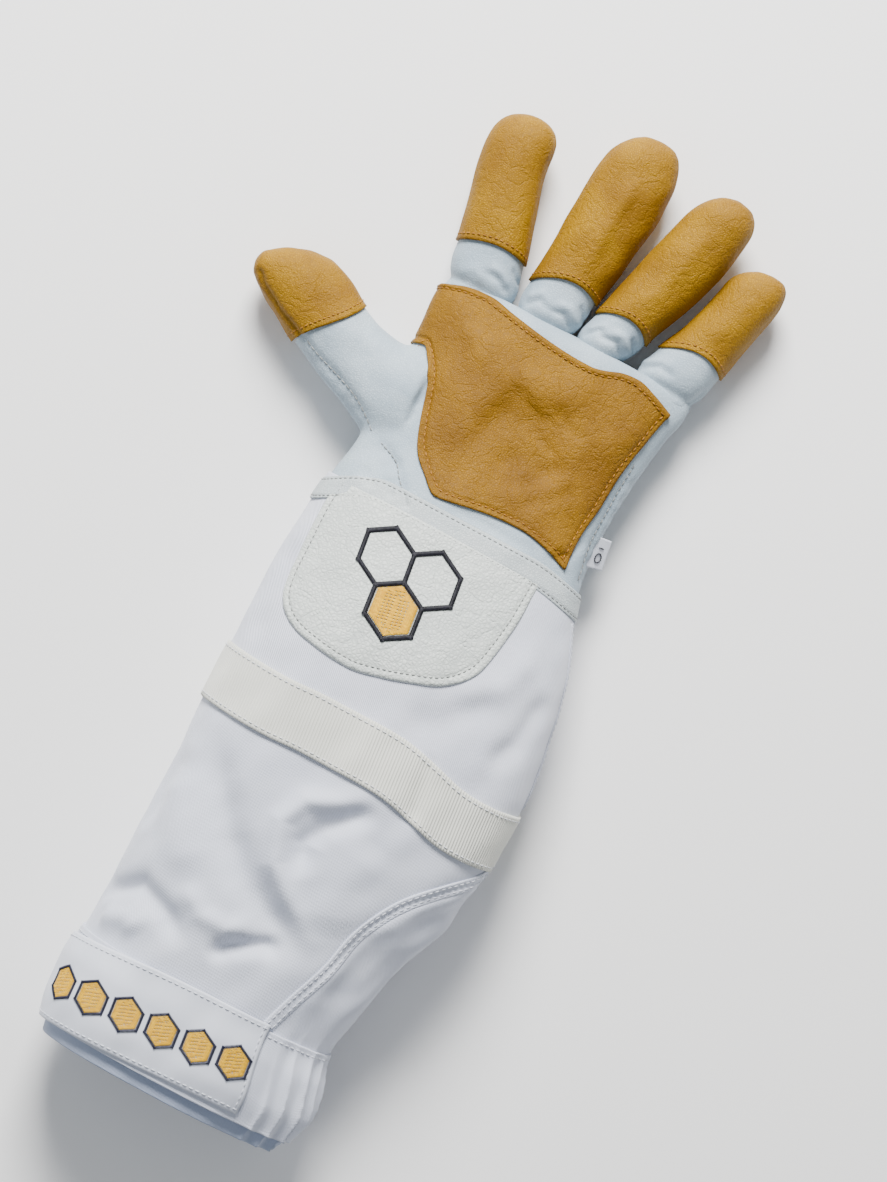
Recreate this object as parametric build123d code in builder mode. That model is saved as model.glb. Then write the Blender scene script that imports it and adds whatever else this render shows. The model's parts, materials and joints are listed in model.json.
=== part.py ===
"""A left-hand beekeeping glove, size L: leather hand, cotton gauntlet and elastic cuff.

The glove lies on its back with the palm up (+Z), the fingers towards +Y and the thumb
towards -X. Every station below is measured in millimetres from the middle of the wrist
seam, with heights from the table. save() sets each piece down so that the row's origin is
the middle of the whole glove's footprint.

The walls are made in layers over one form: skin(n) is the form grown by n mm, so two
neighbouring layers meet face to face and never cross.
"""

import os

from build123d import *

os.makedirs("parts", exist_ok=True)

# ---------------------------------------------------------------- driving dimensions
leather = 1.2  # thickness of one layer of leather or cloth
webbing_thick = 1.5
table_gap = leather  # the form floats one layer above the table
joint_gap = 0.4  # free space where a piece ends and the next body starts
flatness = 0.48  # corner radius of a tube's section, as a share of its height

wrist_y = -6.4  # the wrist crease, between the hand and the gauntlet
knuckle_y = 113.0  # the crease where the four fingers leave the palm
thumb_x = -64.3  # the crease where the thumb leaves the palm
gauntlet_join_y = -107.0  # twill above, canvas below, under the webbing
cuff_top_y = -240.0
cuff_end_y = -286.0
lining_end_y = -293.5
webbing_y = (-93.0, -122.0)
band_top_y = 9.0
side_seam_z = 32.0  # height of the seam that joins the palm side to the back
finger_seam_z = 17.0
seam_rib = 5.0  # width of the felled side seam of the gauntlet

# Stations of the tubes: y, left edge, right edge, height of the palm side.
gauntlet_stations = [
    (wrist_y - joint_gap, -70.0, 66.0, 60.0),
    (-30.0, -72.0, 75.0, 66.0),
    (-60.0, -72.5, 82.0, 72.0),
    (webbing_y[0], -72.0, 86.5, 76.0),
    (webbing_y[1], -71.0, 87.5, 78.0),
    (-150.0, -70.0, 84.0, 78.0),
    (-180.0, -70.0, 75.0, 77.0),
    (-210.0, -69.0, 66.0, 76.0),
    (cuff_top_y, -70.0, 61.0, 74.0),
]
cuff_stations = [
    (cuff_top_y - joint_gap, -70.0, 61.0, 74.0),
    (-262.0, -70.0, 65.5, 75.0),
    (cuff_end_y, -68.5, 63.0, 73.0),
]
lining_stations = cuff_stations + [(lining_end_y, -67.5, 62.0, 72.5)]
palm_stations = [
    (wrist_y, -69.0, 66.0, 60.0),
    (band_top_y, -67.0, 61.5, 55.0),
    (30.0, -64.0, 60.0, 48.0),
    (60.0, -62.5, 61.0, 43.0),
    (90.0, -63.0, 63.5, 38.0),
    (knuckle_y - joint_gap, -64.0, 68.0, 34.0),
]

# The digits' outer size, with the leather cap on.
fingers = {
    # name: x at the knuckle crease, x at the tip, widths at crease, cap hem and tip,
    #       y of the cap's hem, of the middle joint and of the tip, and how far the tip lifts
    "index": (-46.0, -60.0, 35.6, 35.4, 32.4, 132.0, 147.0, 199.5, 5.0),
    "middle": (-12.5, -4.6, 31.0, 34.0, 36.0, 133.0, 148.0, 216.5, 6.0),
    "ring": (16.3, 40.5, 28.0, 30.4, 33.4, 130.0, 146.0, 208.5, 8.0),
    "little": (52.2, 70.6, 36.2, 31.4, 29.0, 130.0, 144.0, 185.0, 3.0),
}
finger_thick = (29.0, 27.0)  # at the crease and at the tip
finger_low = 1.4

# Stations of the thumb: x, low y, high y, low z, high z.
thumb_stations = [
    (thumb_x - joint_gap, 25.0, 76.0, 4.0, 42.0),
    (-78.0, 32.0, 76.5, 4.0, 37.0),
    (-92.0, 40.0, 81.0, 4.0, 34.0),
    (-106.0, 46.5, 88.0, 4.0, 33.0),
    (-121.0, 54.5, 93.0, 5.0, 33.0),
]
thumb_tip = (-148.5, 76.0, 19.0)
thumb_hem = (-103.0, 67.8)  # the middle of the cap's hem
thumb_heading = (-0.741, 0.671)  # square to the hem
thumb_axis = (-0.955, 0.295)  # the way the thumb points
thumb_hem_length = 11.0  # from the hem to the tip joint
thumb_seam_tilt = 25.0  # the seam rides up onto the palm side of the thumb

dome = (0.0, 0.35, 0.62, 0.83, 0.95, 0.995)  # shares of a tip's dome, as a quarter circle

wrist_place = Location(
    (
        -(thumb_tip[0] + gauntlet_stations[4][2] + webbing_thick) / 2,
        -(fingers["middle"][7] + lining_end_y) / 2,
        0,
    )
)


# ---------------------------------------------------------------- helpers
def save(part, name):
    """Sets a finished piece down in the row's frame and writes it as its own node."""
    placed = part.moved(wrist_place)
    placed.label = name
    export_step(placed, f"parts/{name}.step")


def run_on(near, far, longer):
    """The station near, moved away from the next one by longer mm on the same slopes."""
    share = longer / abs(near[0] - far[0])
    return tuple(a + (a - b) * share for a, b in zip(near, far))


def tube(stations, grow=0.0, longer=0.0):
    """A flat-bottomed tube along Y, through its stations, grown outwards by grow mm."""
    first = run_on(stations[0], stations[1], longer)
    last = run_on(stations[-1], stations[-2], longer)
    with BuildPart() as solid:
        for y, left, right, high in [first, *stations[1:-1], last]:
            middle = ((left + right) / 2, y, (table_gap + high) / 2)
            tall = high - table_gap
            with BuildSketch(Plane(origin=middle, x_dir=(1, 0, 0), z_dir=(0, 1, 0))):
                RectangleRounded(
                    right - left + 2 * grow, tall + 2 * grow, flatness * tall + grow
                )
        loft(ruled=True)
    return solid.part


def digit(sections, grow, normal, lateral):
    """A tube of ellipses: each section is its middle, its width and its height."""
    with BuildPart() as solid:
        for middle, wide, tall in sections:
            with BuildSketch(Plane(origin=middle, x_dir=lateral, z_dir=normal)):
                Ellipse(wide / 2 + grow, tall / 2 + grow)
        loft(ruled=True)
    return solid.part


def finger(name, grow=0.0, start=0.0):
    """A finger's form from the crease to its domed tip. start lengthens it at the crease."""
    root_x, tip_x, root_w, hem_w, tip_w, hem, joint, tip, lift = fingers[name]
    first, last = knuckle_y + joint_gap, tip - tip_w / 2
    slope = (tip_x - root_x) / (last - first)
    widening = (hem_w - root_w) / (hem - first)

    def section(y, wide, share):
        thick = finger_thick[0] + (finger_thick[1] - finger_thick[0]) * share
        z = finger_low + thick / 2 + lift * share * abs(share)
        return (root_x + slope * (y - first), y, z), wide, thick

    sections = [
        section(first - start, root_w - widening * start, -0.2 * start / (hem - first)),
        section(hem, hem_w, 0.2),
        section((hem + last) / 2, (hem_w + tip_w) / 2, 0.6),
    ]
    reach = tip_w / 2 + grow
    for share in dome:
        narrow = (1 - share**2) ** 0.5
        middle, wide, thick = section(last, tip_w, 1.0)
        middle = (middle[0], last + share * reach, middle[2])
        sections.append((middle, (wide + 2 * grow) * narrow - 2 * grow,
                         (thick + 2 * grow) * narrow - 2 * grow))
    return digit(sections, grow, (0, 1, 0), (1, 0, 0))


def thumb(grow=0.0, start=0.0):
    """The thumb's form, from the crease beside the palm to its domed tip."""
    sections = []
    first = run_on(thumb_stations[0], thumb_stations[1], start)
    for x, near, far, low, high in [first, *thumb_stations[1:]]:
        middle = (x, (near + far) / 2, (low + high) / 2)
        sections.append((middle, far - near, high - low))
    last_x, near, far, low, high = thumb_stations[-1]
    reach = last_x - thumb_tip[0] + grow
    for share in dome[1:]:
        narrow = (1 - share**2) ** 0.5
        middle = (
            last_x - share * reach,
            (near + far) / 2 + (thumb_tip[1] - (near + far) / 2) * share,
            (low + high) / 2 + (thumb_tip[2] - (low + high) / 2) * share,
        )
        sections.append((middle, (far - near + 2 * grow) * narrow - 2 * grow,
                         (high - low + 2 * grow) * narrow - 2 * grow))
    return digit(sections, grow, (-1, 0, 0), (0, 1, 0))


def thumb_collar(grow=0.0, open_end=0.0):
    """The swelling of the palm that carries the thumb, up to the thumb's crease."""
    x, near, far, low, high = thumb_stations[0]
    outer = ((x + joint_gap - open_end, (near + far) / 2, (low + high) / 2), far - near, high - low)
    inner = ((x + 34.0, (near + far) / 2, (low + high) / 2), far - near - 6, high - low - 4)
    return digit([outer, inner], grow, (1, 0, 0), (0, 1, 0))


def hand_form(grow=0.0, inside=False):
    """The palm and the thumb's collar as one body. inside runs it out of its open ends."""
    longer = leather if inside else 0.0
    with BuildPart() as solid:
        if inside:
            # the hollow stops one layer short of the knuckles and runs out at the wrist
            stations = list(palm_stations)
            stations[0] = (wrist_y - leather, *stations[0][1:])
            stations[-1] = (knuckle_y - joint_gap - leather, *stations[-1][1:])
            add(tube(stations, grow))
        else:
            add(tube(palm_stations, grow))
        add(thumb_collar(grow - (leather if inside else 0.0), longer))
    return solid.part


def wall(outer, inner):
    """The layer between two forms."""
    with BuildPart() as solid:
        add(outer)
        add(inner, mode=Mode.SUBTRACT)
    return solid.part


def above(part, plane):
    """What lies on the plane's normal side."""
    with BuildPart() as solid:
        add(part)
        split(bisect_by=plane, keep=Keep.TOP)
    return solid.part


def between(part, low_y, high_y):
    """The stretch of a piece between two stations."""
    high_side = above(part, Plane(origin=(0, low_y, 0), z_dir=(0, 1, 0)))
    return above(high_side, Plane(origin=(0, high_y, 0), z_dir=(0, -1, 0)))


def halves(part, plane):
    """The palm-side half and the back half of a layer."""
    return above(part, plane), above(part, -plane)


def cut_out(layer, outline, low_z, high_z):
    """The part of a layer inside an outline seen from above."""
    with BuildPart() as solid:
        with BuildSketch(Plane.XY.offset(low_z)):
            add(outline)
        extrude(amount=high_z - low_z)
        add(layer, mode=Mode.INTERSECT)
    return solid.part


side_seam = Plane(origin=(0, 0, side_seam_z), z_dir=(0, 0, 1))
finger_seam = Plane(origin=(0, 0, finger_seam_z), z_dir=(0, 0, 1))
high_up = 120.0

# ---------------------------------------------------------------- the gauntlet
gauntlet = wall(tube(gauntlet_stations), tube(gauntlet_stations, -leather, 1.0))
upper = between(gauntlet, gauntlet_join_y, wrist_y - joint_gap)
lower = between(gauntlet, cuff_top_y, gauntlet_join_y)
for name, ring in (("upper_sleeve", upper), ("lower_sleeve", lower)):
    front, back = halves(ring, side_seam)
    save(front, f"{name}_front")
    save(back, f"{name}_back")

# The webbing is sewn over the join, and its back half has the flat face the glove lies on.
webbing = wall(tube(gauntlet_stations, webbing_thick), tube(gauntlet_stations, 0.0, 1.0))
webbing_front, webbing_back = halves(between(webbing, webbing_y[1], webbing_y[0]), side_seam)
save(webbing_front, "webbing_front")
save(above(webbing_back, Plane.XY), "webbing_back")

# Felled side seams stand proud of the gauntlet's edges, above and below the webbing.
seam_layer = wall(tube(gauntlet_stations, leather), tube(gauntlet_stations, 0.0, 1.0))
seam_spans = (
    (webbing_y[0] + joint_gap, wrist_y - joint_gap),
    (cuff_top_y, webbing_y[1] - joint_gap),
)
for name, side in (("left_side_seam", -1), ("right_side_seam", 1)):
    with BuildPart() as seam:
        for low_y, high_y in seam_spans:
            middle = (side * 80.0, (low_y + high_y) / 2, side_seam_z + seam_rib / 2)
            with Locations(middle):
                Box(60.0, high_y - low_y, seam_rib)
        add(seam_layer, mode=Mode.INTERSECT)
    save(seam.part, name)

# ---------------------------------------------------------------- the cuff
casing = wall(tube(cuff_stations), tube(cuff_stations, -leather, 1.0))
save(casing, "cuff_casing")
elastic = wall(tube(cuff_stations, -leather), tube(cuff_stations, -2 * leather, 1.0))
save(between(elastic, -276.0, -248.0), "cuff_elastic")
lining = wall(tube(lining_stations, -2 * leather), tube(lining_stations, -3 * leather, 1.0))
save(lining, "cuff_lining")

label_layer = wall(tube(cuff_stations, leather), tube(cuff_stations, 0.0, 1.0))
with BuildSketch() as label_outline:
    with BuildLine():
        Polyline((-90, -243), (28, -241), (32, -282), (-90, -285), close=True)
    make_face()
label_tape = cut_out(label_layer, label_outline.sketch, side_seam_z, high_up)
save(label_tape, "label_tape")

# ---------------------------------------------------------------- the badge
badge_layer = wall(tube(gauntlet_stations, leather), tube(gauntlet_stations, 0.0, 1.0))
badge_top_y = wrist_y - joint_gap
with BuildSketch() as badge_outline:
    with BuildLine():
        left = Line((-60, badge_top_y), (-61, -50))
        right = Line((43.5, badge_top_y), (43.5, -30))
        Spline(left @ 1, (-45, -70.5), (-18, -74), (22, -63), right @ 1,
               tangents=((0, -1), (0, 1)))
        Line(left @ 0, right @ 0)
    make_face()
save(cut_out(badge_layer, badge_outline.sketch, side_seam_z + 8, high_up), "badge_patch")

# A plain honeycomb of three cells is embroidered on it, one of them filled.
cell_radius, thread_width, thread_high = 14.0, 2.6, 0.7
cell_middle = (-12.0, -30.6)
cell_step = cell_radius * 3**0.5
cells = [
    (cell_middle[0] - cell_step / 2, cell_middle[1] + cell_radius * 0.75),
    (cell_middle[0] + cell_step / 2, cell_middle[1] + cell_radius * 0.75),
    (cell_middle[0], cell_middle[1] - cell_radius * 0.75),
]
thread_layer = wall(
    tube(gauntlet_stations, leather + thread_high), tube(gauntlet_stations, leather, 1.0)
)
with BuildSketch() as cell_lines:
    with Locations(*cells):
        RegularPolygon(cell_radius + thread_width / 2, 6, rotation=30)
    with Locations(*cells):
        RegularPolygon(cell_radius - thread_width / 2, 6, rotation=30, mode=Mode.SUBTRACT)
save(cut_out(thread_layer, cell_lines.sketch, side_seam_z, high_up), "badge_outline_thread")
with BuildSketch() as cell_fill:
    with Locations(cells[2]):
        RegularPolygon(cell_radius - thread_width / 2, 6, rotation=30)
save(cut_out(thread_layer, cell_fill.sketch, side_seam_z, high_up), "badge_fill_thread")

# ---------------------------------------------------------------- the hand
finger_holes = [finger(name, -2 * leather, 4.0) for name in fingers]
with BuildPart() as hand_shell:
    add(hand_form())
    add(hand_form(-leather, inside=True), mode=Mode.SUBTRACT)
    for hole in finger_holes:
        add(hole, mode=Mode.SUBTRACT)
hand_front, hand_back = halves(hand_shell.part, side_seam)
save(hand_front, "palm_panel")
save(hand_back, "back_panel")

band_layer = wall(tube(palm_stations, leather), tube(palm_stations, 0.0, 1.0))
band_front, band_back = halves(between(band_layer, wrist_y, band_top_y), side_seam)
save(band_front, "wrist_band_front")
save(band_back, "wrist_band_back")

# The reinforcement on the palm runs from the index knuckle to the heel of the hand.
patch_layer = wall(hand_form(leather), hand_form())
with BuildSketch() as patch_outline:
    with BuildLine():
        top = Spline((-60.5, 104), (-44, 111.5), (-20, 109), (10, 106), (35, 109.5), (60, 102))
        right = ThreePointArc(top @ 1, (53, 65), (51, 14.5))
        bottom = ThreePointArc(right @ 1, (15, 20.5), (-20, 15.5))
        left = Spline(bottom @ 1, (-38, 34), (-50, 64), (-59.5, 76.5))
        Line(left @ 1, top @ 0)
    make_face()
save(cut_out(patch_layer, patch_outline.sketch, side_seam_z - 6, high_up), "palm_patch")

# A woven size tag stands out of the side seam near the wrist.
tag_long, tag_wide, tag_thick = 14.0, 10.0, 0.8
with BuildPart() as size_tag:
    with Locations((57.0 + tag_wide / 2, 27.0, side_seam_z + tag_thick / 2)):
        Box(tag_wide, tag_long, tag_thick)
    add(hand_form(), mode=Mode.SUBTRACT)
save(size_tag.part, "size_tag")

# Elastic tape gathers the back of the hand from the inside.
gather_form = wall(hand_form(-leather, inside=True), tube(palm_stations, -2 * leather, 2.0))
gather_reach, gather_high = 44.0, 12.0
with BuildPart() as gather:
    with Locations((0, 30.0, gather_high / 2)):
        Box(2 * gather_reach, 8.0, gather_high)
    add(gather_form, mode=Mode.INTERSECT)
save(gather.part, "wrist_elastic")


# ---------------------------------------------------------------- the digits
def save_digit(name, form, crease, hem, joint, seam):
    """A digit's white base and its leather cap, each in a palm-side and a back half.

    crease, hem and joint are planes across the digit, facing its tip. The base ends at the
    joint, where the cap's upper part bends; the cap's hem overlaps the base.
    """
    near_joint = joint.offset(-joint_gap / 2)
    past_joint = joint.offset(joint_gap / 2)
    base = wall(form(-leather), form(-2 * leather, 1.0))
    cap = wall(form(0.0), form(-leather, 1.0))
    hem_ring = above(above(cap, hem), -near_joint)
    pieces = {
        "base": above(above(base, crease), -near_joint),
        "cap": above(cap, past_joint),
    }
    for part_name, piece in pieces.items():
        front, back = halves(piece, seam)
        save(front, f"{name}_{part_name}_front")
        save(back, f"{name}_{part_name}_back")
    save(hem_ring, f"{name}_cap_hem")


for name, (_, _, _, _, _, hem_y, joint_y, _, _) in fingers.items():
    save_digit(
        name,
        lambda grow, start=0.0, name=name: finger(name, grow, start),
        Plane(origin=(0, knuckle_y + joint_gap, 0), z_dir=(0, 1, 0)),
        Plane(origin=(0, hem_y, 0), z_dir=(0, 1, 0)),
        Plane(origin=(0, joint_y, 0), z_dir=(0, 1, 0)),
        finger_seam,
    )

hem_plane = Plane(origin=(*thumb_hem, 0), z_dir=(*thumb_heading, 0))
save_digit(
    "thumb",
    thumb,
    Plane(origin=(thumb_x - joint_gap, 0, 0), z_dir=(-1, 0, 0)),
    hem_plane,
    hem_plane.offset(thumb_hem_length),
    Plane(origin=(*thumb_hem, 19.0), x_dir=(*thumb_axis, 0), z_dir=(0, 0, 1)).rotated(
        (thumb_seam_tilt, 0, 0)
    ),
)
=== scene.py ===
# %% [markdown]
# # A long beekeeping glove, sewn in Blender
# This lesson makes the looks of a left-hand beekeeping glove: a leather hand with a tan
# palm patch and tan fingertips, a cotton gauntlet with a webbing band, and an elastic cuff.
# The solid model is loaded first as a fixed frame. Each sewn piece is then laid over it,
# at its real place and size, and rides on the same moving bodies.

# %% Load the frame
import json
import math

import bpy
import numpy as np
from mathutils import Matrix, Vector
from mathutils.bvhtree import BVHTree


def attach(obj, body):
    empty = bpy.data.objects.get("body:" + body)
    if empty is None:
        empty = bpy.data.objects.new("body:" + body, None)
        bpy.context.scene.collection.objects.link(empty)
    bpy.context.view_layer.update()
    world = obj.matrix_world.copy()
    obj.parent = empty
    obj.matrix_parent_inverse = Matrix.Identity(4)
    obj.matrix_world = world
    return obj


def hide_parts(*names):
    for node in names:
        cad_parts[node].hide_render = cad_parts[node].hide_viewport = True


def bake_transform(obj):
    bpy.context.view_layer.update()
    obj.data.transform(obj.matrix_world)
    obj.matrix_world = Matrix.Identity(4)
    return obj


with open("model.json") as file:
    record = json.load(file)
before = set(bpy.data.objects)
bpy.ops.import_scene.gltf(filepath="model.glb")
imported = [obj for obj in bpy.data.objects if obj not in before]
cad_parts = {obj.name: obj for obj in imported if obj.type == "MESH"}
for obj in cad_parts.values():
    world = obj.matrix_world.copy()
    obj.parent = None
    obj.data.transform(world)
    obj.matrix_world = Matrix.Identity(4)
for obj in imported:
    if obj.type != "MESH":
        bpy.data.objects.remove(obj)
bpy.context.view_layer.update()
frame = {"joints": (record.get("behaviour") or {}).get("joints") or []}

joints = {joint["name"]: joint for joint in frame["joints"]}

# %% [markdown]
# ## Measuring from the wrist
# A glove maker measures from one landmark. Here it is the middle of the wrist seam, on the
# table: x runs to the little finger, y to the fingertips, z up out of the palm, all in
# millimetres. The wrist hinge of the frame says where that landmark is, so the pieces stay
# on the frame even if the frame is moved.

# %% One landmark for all pieces
MM = 0.001
BELOW_SEAM = 6.6  # the wrist hinge sits this far on the cuff's side of the landmark
wrist_hinge = joints["wrist_bend"]["pos_m"]
wrist_seam = np.array([wrist_hinge[0] / MM, wrist_hinge[1] / MM + BELOW_SEAM, 0.0])


def from_wrist(x, y, z):
    """A point, or arrays of points, measured from the wrist in mm, as metres in the frame."""
    points = np.stack(np.broadcast_arrays(x, y, z), -1).astype(float)
    return (points + wrist_seam) * MM


print("the wrist seam is at", (wrist_seam * MM).round(4))

# %% [markdown]
# ## Curves from a few numbers
# Sewn shapes are smooth, so a few stations are enough, with a curve between them. A
# monotone cubic curve is used because it never swings past its own points, as a plain
# spline would, and a swing would show as a dent. The second tool tells how far a point is
# from a drawn line, which is all that a fold, a groove or a row of stitches needs.

# %% Curves and distances
def smooth_through(stations, t):
    """Each column of the stations as a smooth curve (monotone cubic) read at t."""
    table = np.array(sorted(map(tuple, stations)), float)
    knots, values = table[:, 0], table[:, 1:]
    steps = np.diff(knots)[:, None]
    slopes = np.diff(values, axis=0) / steps
    inner = slopes[:-1] * slopes[1:]
    mean = 0.5 * (slopes[:-1] + slopes[1:])
    limit = 3 * np.minimum(np.abs(slopes[:-1]), np.abs(slopes[1:]))
    mean = np.sign(mean) * np.minimum(np.abs(mean), limit) * (inner > 0)
    tangents = np.vstack([slopes[:1], mean, slopes[-1:]])
    t = np.clip(np.asarray(t, float), knots[0], knots[-1])
    k = np.clip(np.searchsorted(knots, t) - 1, 0, len(knots) - 2)
    h = steps[k]
    f = ((t - knots[k]) / h[..., 0])[..., None]
    return (
        values[k] * (1 + 2 * f) * (1 - f) ** 2
        + tangents[k] * h * f * (1 - f) ** 2
        + values[k + 1] * f**2 * (3 - 2 * f)
        + tangents[k + 1] * h * f**2 * (f - 1)
    )


def from_path(s, t, path):
    """How far each point is from a drawn path, and how far along the path it lies."""
    path = np.array(path, float)
    a, b = path[:-1], path[1:]
    lengths = np.linalg.norm(b - a, axis=1)
    before = np.concatenate([[0], np.cumsum(lengths)[:-1]])
    best = np.full(np.shape(s), 1e9)
    along = np.zeros(np.shape(s))
    for p, q, length, start in zip(a, b, lengths, before):
        f = ((s - p[0]) * (q[0] - p[0]) + (t - p[1]) * (q[1] - p[1])) / length**2
        f = np.clip(f, 0, 1)
        away = np.hypot(s - p[0] - f * (q[0] - p[0]), t - p[1] - f * (q[1] - p[1]))
        nearer = away < best
        best = np.where(nearer, away, best)
        along = np.where(nearer, start + f * length, along)
    return best, along / lengths.sum()


middle = float(smooth_through([(0, 0.0), (10, 1.0)], 5.0)[0])
print("halfway between 0 and 1 the curve reads", round(middle, 2))

# %% [markdown]
# ## A form to sew on
# Real gloves are pressed on a metal hand form. The same idea works in Blender: a form is a
# tube of rounded sections, strung along one axis, whose skin can be unrolled. A seam or a
# patch is then drawn on the flat skin, as distance round the tube and distance along it,
# and the form rolls it back into place. Folds are pressed into the form as strokes, the way
# a finger drags over clay, so everything sewn on it later follows the same folds.

# %% The form
TABLE, SINK = 0.25, 0.7  # no layer goes under the table; near it the layers press together


class Form:
    """Rounded sections along one axis: stations are (t, low side, high side, bottom, top)."""

    COLUMNS = 720

    def __init__(self, stations, squareness, along="y"):
        self.along, self.strokes, self.swells = along, [], []
        first, last = min(s[0] for s in stations), max(s[0] for s in stations)
        self.first, self.last = first, last
        rows = max(int((last - first) / 0.5), 8)
        self.rows = np.linspace(first, last, rows + 1)
        low, high, bottom, top = smooth_through(stations, self.rows).T
        turn = np.linspace(-math.pi, math.pi, 1441)
        bulge = 2 / squareness
        sideways = np.sign(np.sin(turn)) * np.abs(np.sin(turn)) ** bulge
        upwards = np.sign(np.cos(turn)) * np.abs(np.cos(turn)) ** bulge
        side = (low + high)[:, None] / 2 + (high - low)[:, None] / 2 * sideways
        tall = (bottom + top)[:, None] / 2 + (top - bottom)[:, None] / 2 * upwards
        arc = np.hypot(np.diff(side, axis=1), np.diff(tall, axis=1)).cumsum(axis=1)
        arc = np.hstack([np.zeros((rows + 1, 1)), arc])
        self.girth = arc[:, -1]
        share = np.linspace(0, 1, self.COLUMNS + 1)
        self.side = np.array([np.interp(share * a[-1], a, x) for a, x in zip(arc, side)])
        self.tall = np.array([np.interp(share * a[-1], a, z) for a, z in zip(arc, tall)])

    def girth_at(self, t):
        return np.interp(t, self.rows, self.girth)

    def _read(self, grid, q, t):
        row = np.clip((t - self.first) / (self.last - self.first), 0, 1) * (len(self.rows) - 1)
        column = np.mod(q, 1.0) * self.COLUMNS
        r, c = np.minimum(row.astype(int), len(self.rows) - 2), column.astype(int)
        c = np.minimum(c, self.COLUMNS - 1)
        fr, fc = row - r, column - c
        near = grid[r, c] * (1 - fc) + grid[r, c + 1] * fc
        far = grid[r + 1, c] * (1 - fc) + grid[r + 1, c + 1] * fc
        return near * (1 - fr) + far * fr

    def seen(self, x, t):
        """The distance round the form, from its top line, of a point seen from above."""
        x, t = np.broadcast_arrays(np.asarray(x, float), np.asarray(t, float))
        out = np.empty(x.shape)
        quarter = self.COLUMNS // 4
        for n, (one_x, one_t) in enumerate(zip(x.flat, t.flat)):
            row = int(np.clip((one_t - self.first) / (self.last - self.first), 0, 1) * (len(self.rows) - 1))
            top_half = self.side[row, quarter : 3 * quarter + 1]
            q = np.interp(one_x, top_half, np.linspace(-0.25, 0.25, len(top_half)))
            beyond = one_x - np.clip(one_x, top_half[0], top_half[-1])
            out.flat[n] = q * self.girth[row] + beyond
        return out

    def relief(self, s, t):
        """How far all strokes and swells together move the skin at each point."""
        height = np.zeros(np.broadcast(s, t).shape)
        for path, width, depth, taper in self.strokes:
            away, along = from_path(s, t, path)
            fade = np.clip(np.minimum(along, 1 - along) / max(taper, 1e-6), 0, 1)
            height += depth * np.exp(-((away / width) ** 2)) * fade * fade * (3 - 2 * fade)
        for swell in self.swells:
            height += swell(s, t)
        return height

    def point(self, s, t, lift=0.0):
        """The place, in mm from the wrist, of a point on the unrolled skin, and its normal."""
        s, t = np.broadcast_arrays(np.asarray(s, float), np.asarray(t, float))
        girth = np.maximum(self.girth_at(t), 1e-6)
        q = 0.5 + s / girth
        side, tall = self._read(self.side, q, t), self._read(self.tall, q, t)
        d = 0.004
        across = self._read(self.side, q + d, t) - self._read(self.side, q - d, t)
        up = self._read(self.tall, q + d, t) - self._read(self.tall, q - d, t)
        length = np.maximum(np.hypot(across, up), 1e-9)
        n_side, n_tall = -up / length, across / length
        out = self.relief(s, t) + lift
        side, tall = side + n_side * out, tall + n_tall * out
        tall = TABLE + SINK * np.logaddexp(0, (tall - TABLE) / SINK)
        flat = np.zeros_like(n_side)
        if self.along == "y":
            return np.stack([side, t, tall], -1), np.stack([n_side, flat, n_tall], -1)
        return np.stack([t, side, tall], -1), np.stack([flat, n_side, n_tall], -1)

    def press(self, path, width, depth, taper=0.25):
        """A fold (depth over 0) or a crease (under 0) along a path seen from above."""
        path = np.array(path, float)
        fine = np.linspace(0, len(path) - 1, 4 * (len(path) - 1) + 1)
        path = np.stack([np.interp(fine, range(len(path)), path[:, k]) for k in (0, 1)], -1)
        if self.along == "y":
            drawn = np.stack([self.seen(path[:, 0], path[:, 1]), path[:, 1]], -1)
        else:
            drawn = np.stack([self.seen(path[:, 1], path[:, 0]), path[:, 0]], -1)
        self.strokes.append((drawn, width, depth, taper))


print("a form is read in", Form.COLUMNS, "columns round its skin")

# %% [markdown]
# ## A ripple for all soft surfaces
# No cloth or leather is even. Nine long waves in all directions, added up, make a gentle
# unevenness without a pattern that the eye can find. The seed fixes it, so the glove is the
# same each time that the lesson is run.

# %% Ripple
def ripple(size, height, seed, stretch=1.0):
    """A gentle unevenness: waves of about one size in all directions, always the same."""
    draw = np.random.default_rng(seed)
    turns, phases = draw.uniform(0, math.pi, 9), draw.uniform(0, 2 * math.pi, 9)
    sizes = size * draw.uniform(0.7, 1.5, 9)

    def swell(s, t):
        total = 0.0
        for turn, phase, one in zip(turns, phases, sizes):
            wave = (s * math.cos(turn) + t * math.sin(turn) / stretch) * 2 * math.pi / one
            total = total + np.sin(wave + phase)
        return height * total / 3

    return swell


heights = ripple(20, 0.3, seed=1)(np.arange(0, 200.0), np.zeros(200))
print("a 0.3 mm ripple spans", round(float(np.ptp(heights)), 2), "mm")

# %% [markdown]
# ## From a flat sheet to a sewn piece
# Every cloth or leather piece starts as a flat grid, like cloth off the roll, with its own
# UV map. Its points are then moved to where the form says. The grid keeps its UV map, so a
# weave printed on the flat sheet follows the piece round every fold.

# %% Pick, move and merge points
def only(piece):
    """Makes a piece the one selected, active object."""
    if bpy.context.object and bpy.context.object.mode != "OBJECT":
        bpy.ops.object.mode_set(mode="OBJECT")
    bpy.ops.object.select_all(action="DESELECT")
    piece.select_set(True)
    bpy.context.view_layer.objects.active = piece


def positions(piece):
    """All points of a piece as one array, in metres."""
    out = np.empty(len(piece.data.vertices) * 3)
    piece.data.vertices.foreach_get("co", out)
    return out.reshape(-1, 3)


def move_points(piece, points):
    piece.data.vertices.foreach_set("co", np.asarray(points, float).ravel())
    piece.data.update()


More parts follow.
